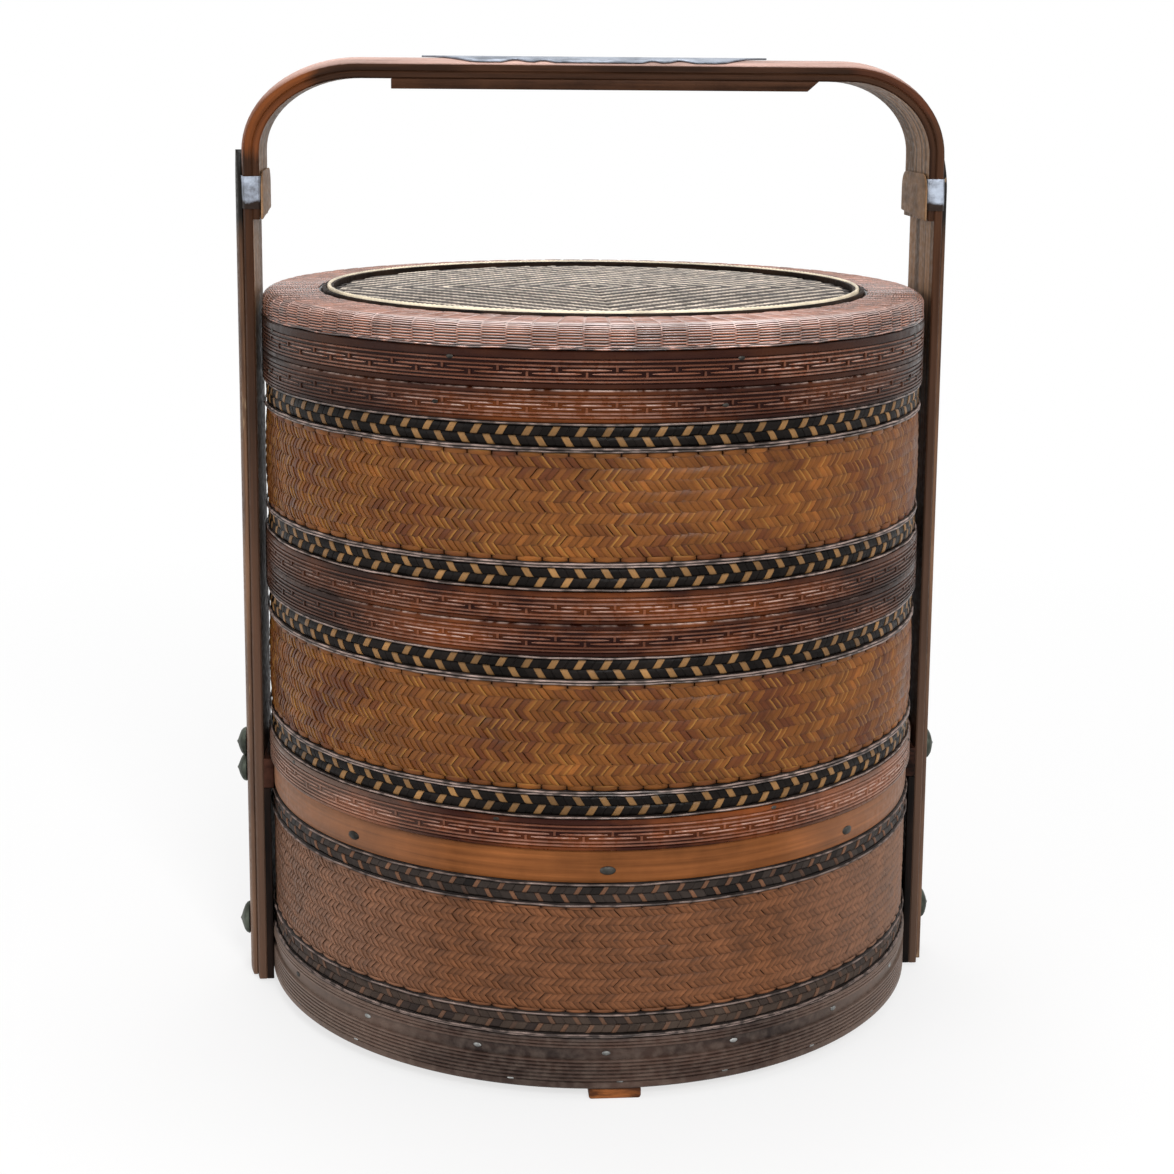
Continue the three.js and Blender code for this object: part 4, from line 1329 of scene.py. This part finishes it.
def bow_path(foot):
    """Stations along the inner face of the bow, from the left foot over the arch to the right foot.

    Each is a place and an outward direction in XZ.
    """
    bend_low = arch_height() - BEND_RISE
    stations = []
    for side, _ in SIDES:
        reach = BEND_REACH[side]
        arm = arm_path(side, [foot + (bend_low - foot) * i / STRAIGHT_STEPS for i in range(STRAIGHT_STEPS)])
        for step in range(BEND_STEPS + 1):
            angle = step / BEND_STEPS * math.pi / 2
            out = Vector((side * math.cos(angle) / reach, math.sin(angle) / BEND_RISE)).normalized()
            arm.append((
                side * (BOW_INNER - reach + reach * math.cos(angle)),
                bend_low + BEND_RISE * math.sin(angle), out.x, out.y,
            ))
        stations.append(arm)
    left, right = stations
    start, end = left[-1], right[-1]
    top = [
        (start[0] + (end[0] - start[0]) * i / STRAIGHT_STEPS, start[1], 0.0, 1.0)
        for i in range(1, STRAIGHT_STEPS)
    ]
    return [*left, *top, *reversed(right)]


def arm_path(side, heights):
    """Stations straight up or down the left or right arm."""
    return [(side * BOW_INNER, height, side, 0.0) for height in heights]


def swept(path, outlines):
    """A solid along stations, each with its own section, with the grain running along it."""
    sections = [
        [(x + nx * out, across, z + nz * out) for across, out in outline]
        for (x, z, nx, nz), outline in zip(path, outlines)
    ]
    lengths = [0.0]
    for (x, z, *_), (next_x, next_z, *_) in zip(path, path[1:]):
        lengths.append(lengths[-1] + math.hypot(next_x - x, next_z - z))
    return loft(sections, lengths, outlines[0])


def mirrored(outline, side):
    """A section for the left or right arm, so that faces keep pointing outwards."""
    return outline if side > 0 else [(-across, out) for across, out in outline]


class BASKET_OT_bow(bpy.types.Operator):
    """Bend the bow and its inner ply"""

    bl_idname = "basket.bow"
    bl_label = "Bow"

    def execute(self, context):
        shades = colours()
        wood = slat_finish(
            "handled bentwood bamboo", toned(shades.bentwood, 0.4), shades.bentwood, shades.bentwood_worn_sheen,
            inside=(shades.leg, 0.05, INSIDE_HALF), dust=0.3,
            patches=[(452, 516, linear("#6a3a1c")), (790, 850, linear("#4a2a1b"))],
        )
        path = bow_path(ARM_FOOT)
        bow = swept(path, [crowned_section(ARM_HALF, BOW_SEAT, BOW_EDGE)] * len(path))
        stand_for(bow, "handle_bow", [wood])
        path = bow_path(span_of("handle_inner_ply")[0])
        inner, outer = PLY_FACES
        ply = swept(path, [crowned_section(ARM_HALF, inner, outer, crown=0)] * len(path))
        laid = slat_finish(
            "darkened bamboo ply", toned(shades.bentwood, 0.35), toned(shades.bentwood, 0.85),
            inside=(shades.leg, inner + 0.35, INSIDE_HALF), patches=[(30, 94, linear("#5c331b"))],
        )
        stand_for(ply, "handle_inner_ply", [laid])
        return {"FINISHED"}


class BASKET_OT_arm_slips(bpy.types.Operator):
    """Shape the slips, cheeks, packing and blocks on the two arms"""

    bl_idname = "basket.arm_slips"
    bl_label = "Arm Slips"

    def execute(self, context):
        leg = colours().leg
        wood = slat_finish(
            "worn bamboo slip", linear("#32211a"), linear("#6c503c"), dust=0.3, chips=linear("#8c755c"),
            patches=[(-50, 50, linear("#1d1a17"))],
        )
        plain = slat_finish("greyed cheek board", toned(leg, 0.6), leg, stretch=(120.0, 40.0, 120.0))
        black = slat_finish(
            "near-black packing", linear("#0a0706"), linear("#1a110d"), stretch=(200.0, 200.0, 14.0)
        )
        red = slat_finish(
            "red-brown block", linear("#140a07"), linear("#3a2219"), stretch=(120.0, 30.0, 240.0)
        )
        for side, name in SIDES:
            slip = self.pointed_slip(span_of(name + "_outer_slip")[1], side)
            stand_for(slip, name + "_outer_slip", [wood])
            cheek = softened(name + "_shoulder_cheek", 1.0)
            self.thin_cheek(cheek, side)
            stand_for(cheek, name + "_shoulder_cheek", [plain])
            stand_for(softened(name + "_packing_slip", 0.3), name + "_packing_slip", [black])
            stand_for(softened(name + "_spacer_block", 0.5), name + "_spacer_block", [red])
        return {"FINISHED"}

    def pointed_slip(self, top, side):
        """A slip down the outside of an arm that widens from a point at its top."""
        heights, halves = [], []
        for i in range(SLIP_POINT_STEPS + 1):
            share = i / SLIP_POINT_STEPS
            heights.append(top - SLIP_POINT * share)
            halves.append(SLIP_TIP_HALF + (SLIP_HALF - SLIP_TIP_HALF) * math.sin(share * math.pi / 2))
        straight = top - SLIP_POINT
        heights += [straight - (straight - ARM_FOOT) * i / SLIP_STEPS for i in range(1, SLIP_STEPS + 1)]
        halves += [SLIP_HALF] * SLIP_STEPS
        outlines = [
            mirrored(crowned_section(half, *SLIP_FACES, True, 0.4, swell=SLIP_SWELL), side)
            for half in halves
        ]
        return swept(arm_path(side, heights), outlines)

    def thin_cheek(self, bm, side):
        """Makes a cheek as thin as the real one, and cuts its lower end at a slant."""
        seat = max(abs(vert.co.x) for vert in bm.verts)
        foot = min(vert.co.z for vert in bm.verts)
        for vert in bm.verts:
            vert.co.x = side * (seat + CHEEK_REACH - CHEEK_SHARE * (seat - abs(vert.co.x)))
            near_foot = max(0.0, 1 - (vert.co.z - foot) / CHEEK_SLANT_HEIGHT)
            vert.co.z += CHEEK_SLANT * near_foot * (0.5 + vert.co.y / ARM_HALF / 2)


class BASKET_OT_shoulder_bands(bpy.types.Operator):
    """Fold the metal bands round the shoulders"""

    bl_idname = "basket.shoulder_bands"
    bl_label = "Shoulder Bands"

    def execute(self, context):
        silver = metal_finish("rubbed white metal", colours().silver, linear("#2e2622"), 0.38, True)
        noise.seed_set(DENT_SEED)
        section = crowned_section(
            ARM_HALF + BAND_GROWN, PLY_FACES[0] - BAND_GROWN, BOW_EDGE + BAND_GROWN, soft=1.0
        )
        for side, name in SIDES:
            node = name + "_shoulder_band"
            bottom, top, _ = span_of(node)
            low_part, high_part = (bottom + share * (top - bottom) for share in BAND_TARNISH)
            bm = start_shape()
            ring = [
                bm.verts.new((side * (BOW_INNER + out), across, bottom))
                for across, out in mirrored(section, side)
            ]
            edges = [bm.edges.new(pair) for pair in zip(ring, ring[1:] + ring[:1])]
            for height in (bottom + 1.2, low_part, high_part, top - 2.4, top - 1.2, top):
                made = bmesh.ops.extrude_edge_only(bm, edges=edges)
                edges = [part for part in made["geom"] if isinstance(part, bmesh.types.BMEdge)]
                for vert in {vert for edge in edges for vert in edge.verts}:
                    vert.co.z = height
            bmesh.ops.recalc_face_normals(bm, faces=bm.faces)
            bmesh.ops.solidify(bm, geom=bm.faces[:], thickness=BAND_WALL)
            bmesh.ops.recalc_face_normals(bm, faces=bm.faces)
            tint = bm.verts.layers.float["tint"]
            for vert in bm.verts:
                vert[tint] = 1 if vert.co.z > low_part + 0.1 else 0
                vert.co += 0.3 * noise.noise_vector(vert.co * 0.12) * Vector((1, 0, 1))
            stand_for(bm, node, [silver])
        return {"FINISHED"}


class BASKET_OT_studs(bpy.types.Operator):
    """Forge the iron studs that pin the arms"""

    bl_idname = "basket.studs"
    bl_label = "Studs"

    def execute(self, context):
        iron = metal_finish("forged dark iron", colours().iron, toned(colours().iron, 0.4), 0.45)
        noise.seed_set(DENT_SEED)
        for side, name in SIDES:
            for place in ("upper", "lower"):
                node = f"{name}_{place}_stud"
                bottom, top, _ = span_of(node)
                middle = (bottom + top) / 2
                radius, lobes = STUD_RADIUS, (0.0,)
                if node == "left_upper_stud":
                    radius, lobes = LOBE_RADIUS, (LOBE_SHIFT, -LOBE_SHIFT)
                bm = start_shape()
                for lobe in lobes:
                    join_to(bm, self.head(radius, middle + lobe, side))
                join_to(bm, self.shank(middle, side))
                stand_for(bm, node, [iron], 30)
        return {"FINISHED"}

    def turned(self, outline, height, side, steps=24):
        """Turns an outline of [radius, out] points round a line through an arm."""
        seat = span_of("right_lower_stud")[2] - STUD_RISE
        bm = start_shape()
        verts = [bm.verts.new((side * (seat + out), 0, height + radius)) for radius, out in outline]
        edges = [bm.edges.new(pair) for pair in zip(verts, verts[1:])]
        spin(bm, verts + edges, steps, axis=(1, 0, 0), centre=(0, 0, height))
        bmesh.ops.remove_doubles(bm, verts=bm.verts, dist=0.001)
        bmesh.ops.recalc_face_normals(bm, faces=bm.faces)
        return bm

    def head(self, radius, height, side):
        """A rough domed head that rises to a point."""
        dome = [(radius * across, STUD_RISE * out) for across, out in STUD_DOME]
        bm = self.turned([(0, 0), (radius, 0), *dome], height, side, 14)
        for vert in bm.verts:
            vert.co += 0.35 * noise.noise_vector(vert.co * 0.3) * Vector((0, 1, 1))
        return bm

    def shank(self, height, side):
        """The part of a stud that goes into its arm."""
        deep, near = SHANK_DEPTHS
        outline = [(0, deep), (SHANK_RADIUS, deep), (SHANK_RADIUS, near), (0, near)]
        return self.turned(outline, height, side)


class BASKET_OT_grip(bpy.types.Operator):
    """Shape the slip under the grip and the metal plate over it"""

    bl_idname = "basket.grip"
    bl_label = "Grip"

    def execute(self, context):
        shades = colours()
        wood = slat_finish(
            "red-brown grip slip", toned(shades.bentwood, 0.45), shades.bentwood,
            stretch=(9.0, 320.0, 320.0),
        )
        slip = softened("grip_under_slip", 0.35)
        middle = sum(vert.co.z for vert in slip.verts) / len(slip.verts)
        for vert in slip.verts:
            vert.co.z += SEAT_GAP if vert.co.z > middle else 0
        stand_for(slip, "grip_under_slip", [wood])
        half_long = span_of("grip_plate")[2]
        ends = [(reach - half_long, share * PLATE_HALF) for reach, share in PLATE_SCALLOPS]
        places = ends + [(0.0, PLATE_HALF)] + [(-x, half) for x, half in reversed(ends)]
        plate = swept(
            [(x, arch_height(), 0.0, 1.0) for x, _ in places],
            [crowned_section(half, *PLATE_FACES, True, 0.3) for _, half in places],
        )
        silver = metal_finish(
            "dark rubbed metal sheet", toned(shades.silver, 0.7), toned(shades.silver, 0.35), 0.45
        )
        stand_for(plate, "grip_plate", [silver])
        return {"FINISHED"}


class BASKET_OT_runners(bpy.types.Operator):
    """Round the crossed runners under the base"""

    bl_idname = "basket.runners"
    bl_label = "Runners"

    def execute(self, context):
        wood = slat_finish(
            "brown runner", linear("#4a2a18"), linear("#8a532d"), stretch=(60.0, 60.0, 300.0)
        )
        for node in ("foot_runner", "cross_runner"):
            stand_for(softened(node, 1.4, 3), node, [wood])
        return {"FINISHED"}


class BASKET_OT_nails(bpy.types.Operator):
    """Drive the small nails that hold the hoops"""

    bl_idname = "basket.nails"
    bl_label = "Nails"

    def execute(self, context):
        iron = metal_finish("rubbed nail iron", linear("#4c4a46"), linear("#1d1b19"), 0.45)
        bright = metal_finish("bare nail iron", linear("#a5a6a4"), linear("#4a4947"), 0.45)
        for name, body, node, drop, first, step, number, radius, sunk in NAIL_ROWS:
            _, top, outer = span_of(node)
            bm = start_shape()
            for i in range(number):
                nail = start_shape()
                bmesh.ops.create_uvsphere(nail, u_segments=12, v_segments=6, radius=radius)
                bmesh.ops.scale(nail, vec=NAIL_SQUASH, verts=nail.verts)
                set_at(nail, outer - sunk, top - drop, first - 90 + i * step)
                join_to(bm, nail)
            make_piece(bm, name, body, [bright if node == "base_foot_hoop" else iron])
        return {"FINISHED"}


# Stage


def seen_directly(add):
    """1 for rays from the camera, from metal or through glass, to which the studio is plain white."""
    rays = add("LightPath").node.outputs
    seen = add("Math", [rays["Is Camera Ray"], rays["Is Glossy Ray"]], operation="MAXIMUM")
    return add("Math", [seen, rays["Is Transmission Ray"]], operation="MAXIMUM")


class BASKET_OT_stage(bpy.types.Operator):
    """Set the pale floor, the soft lights and the camera"""

    bl_idname = "basket.stage"
    bl_label = "Stage"

    def execute(self, context):
        scene = context.scene
        scene.view_settings.view_transform = "Standard"
        self.floor(scene)
        self.world(scene)
        for name, place, side, power in LAMPS:
            self.lamp(scene, name, place, side, power)
        self.camera(scene)
        return {"FINISHED"}

    def floor(self, scene):
        """A wide sheet of white paper that keeps the basket's shadow and turns plain white further out."""
        bm = bmesh.new()
        bmesh.ops.create_grid(bm, x_segments=2, y_segments=2, size=12)
        mesh = bpy.data.meshes.new("floor")
        bm.to_mesh(mesh)
        bm.free()
        floor = bpy.data.objects.new("floor", mesh)
        scene.collection.objects.link(floor)
        material, shader, add = start_material("white paper floor")
        tree = material.node_tree
        tree.nodes.remove(shader)
        paper = add("BsdfDiffuse", {"Color": grey(0.8)})
        glow = add("Emission", {"Color": grey(1.0), "Strength": 1.0})
        far = add("VectorMath", [add("TexCoord", output="Object")], operation="LENGTH")
        white = add("MapRange", [far, 0.3, 1.1, 0.7, 1.0])
        share = add("Math", [seen_directly(add), white], operation="MULTIPLY")
        both = add("MixShader", [share, paper, glow])
        tree.links.new(both, tree.nodes["Material Output"].inputs["Surface"])
        mesh.materials.append(material)

    def world(self, scene):
        """Soft light from all round that shows as plain white."""
        scene.world = bpy.data.worlds.new("white studio")
        scene.world.use_nodes = True
        tree = scene.world.node_tree
        add = functools.partial(add_node, tree)
        level = add("MapRange", [seen_directly(add), 0.0, 1.0, 0.55, 1.0])
        sky = tree.nodes["Background"]
        sky.inputs["Color"].default_value = grey(1.0)
        tree.links.new(level, sky.inputs["Strength"])

    def lamp(self, scene, name, place, side, power):
        """A square soft lamp that points at the basket."""
        data = bpy.data.lights.new(name, "AREA")
        data.energy = power
        data.size = side
        lamp = bpy.data.objects.new(name, data)
        lamp.location = place
        ahead = Vector(LAMP_TARGET) - Vector(place)
        lamp.rotation_euler = ahead.to_track_quat("-Z", "Y").to_euler()
        scene.collection.objects.link(lamp)

    def camera(self, scene):
        """A camera at the photo's viewing angle."""
        turn, pitch, roll = (math.radians(a) for a in (CAMERA_AZIMUTH, CAMERA_PITCH, CAMERA_ROLL))
        forward = Vector((-math.sin(turn), math.cos(turn), 0))
        ahead = forward * math.cos(pitch) - Vector(UPRIGHT) * math.sin(pitch)
        level = Vector((math.cos(turn), math.sin(turn), 0))
        upward = level.cross(ahead)
        right = math.cos(roll) * level + math.sin(roll) * upward
        up = -math.sin(roll) * level + math.cos(roll) * upward
        place = (Vector(UPRIGHT) * CAMERA_HEIGHT - forward * CAMERA_DISTANCE) * MM
        data = bpy.data.cameras.new("camera")
        data.sensor_width = 36
        data.lens = data.sensor_width * CAMERA_FOCUS / PHOTO_SIDE
        data.shift_x = -CAMERA_OFFSET[0] / PHOTO_SIDE
        data.shift_y = CAMERA_OFFSET[1] / PHOTO_SIDE
        camera = bpy.data.objects.new("camera", data)
        axes = Matrix((right, up, -ahead)).transposed().to_4x4()
        camera.matrix_world = Matrix.Translation(place) @ axes
        scene.collection.objects.link(camera)
        scene.camera = camera


OPERATORS = (
    BASKET_OT_stage, BASKET_OT_woven_walls, BASKET_OT_braids, BASKET_OT_canes, BASKET_OT_carved_hoops,
    BASKET_OT_base_hoops, BASKET_OT_liners, BASKET_OT_lid_shoulder, BASKET_OT_lid_panel, BASKET_OT_bow,
    BASKET_OT_arm_slips, BASKET_OT_shoulder_bands, BASKET_OT_studs, BASKET_OT_grip, BASKET_OT_runners,
    BASKET_OT_nails,
)


class BASKET_PT_sidebar(bpy.types.Panel):
    """Lists the basket's pieces and settings"""

    bl_idname = "BASKET_PT_sidebar"
    bl_label = "Stacking Basket"
    bl_space_type = "VIEW_3D"
    bl_region_type = "UI"
    bl_category = "Basket"

    def draw(self, context):
        column = self.layout.column()
        for operator in OPERATORS:
            column.operator(operator.bl_idname)
        for group in (context.scene.basket_sizes, context.scene.basket_colours):
            for key in group.__annotations__:
                column.prop(group, key)


CLASSES = (BasketSizes, BasketColours, *OPERATORS, BASKET_PT_sidebar)


def register():
    for kind in CLASSES:
        bpy.utils.register_class(kind)
    bpy.types.Scene.basket_sizes = bpy.props.PointerProperty(type=BasketSizes)
    bpy.types.Scene.basket_colours = bpy.props.PointerProperty(type=BasketColours)


def unregister():
    del bpy.types.Scene.basket_colours
    del bpy.types.Scene.basket_sizes
    for kind in reversed(CLASSES):
        bpy.utils.unregister_class(kind)


def main():
    register()
    for operator in OPERATORS:
        group, name = operator.bl_idname.split(".")
        getattr(getattr(bpy.ops, group), name)()
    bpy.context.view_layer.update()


if __name__ == "__main__":
    main()
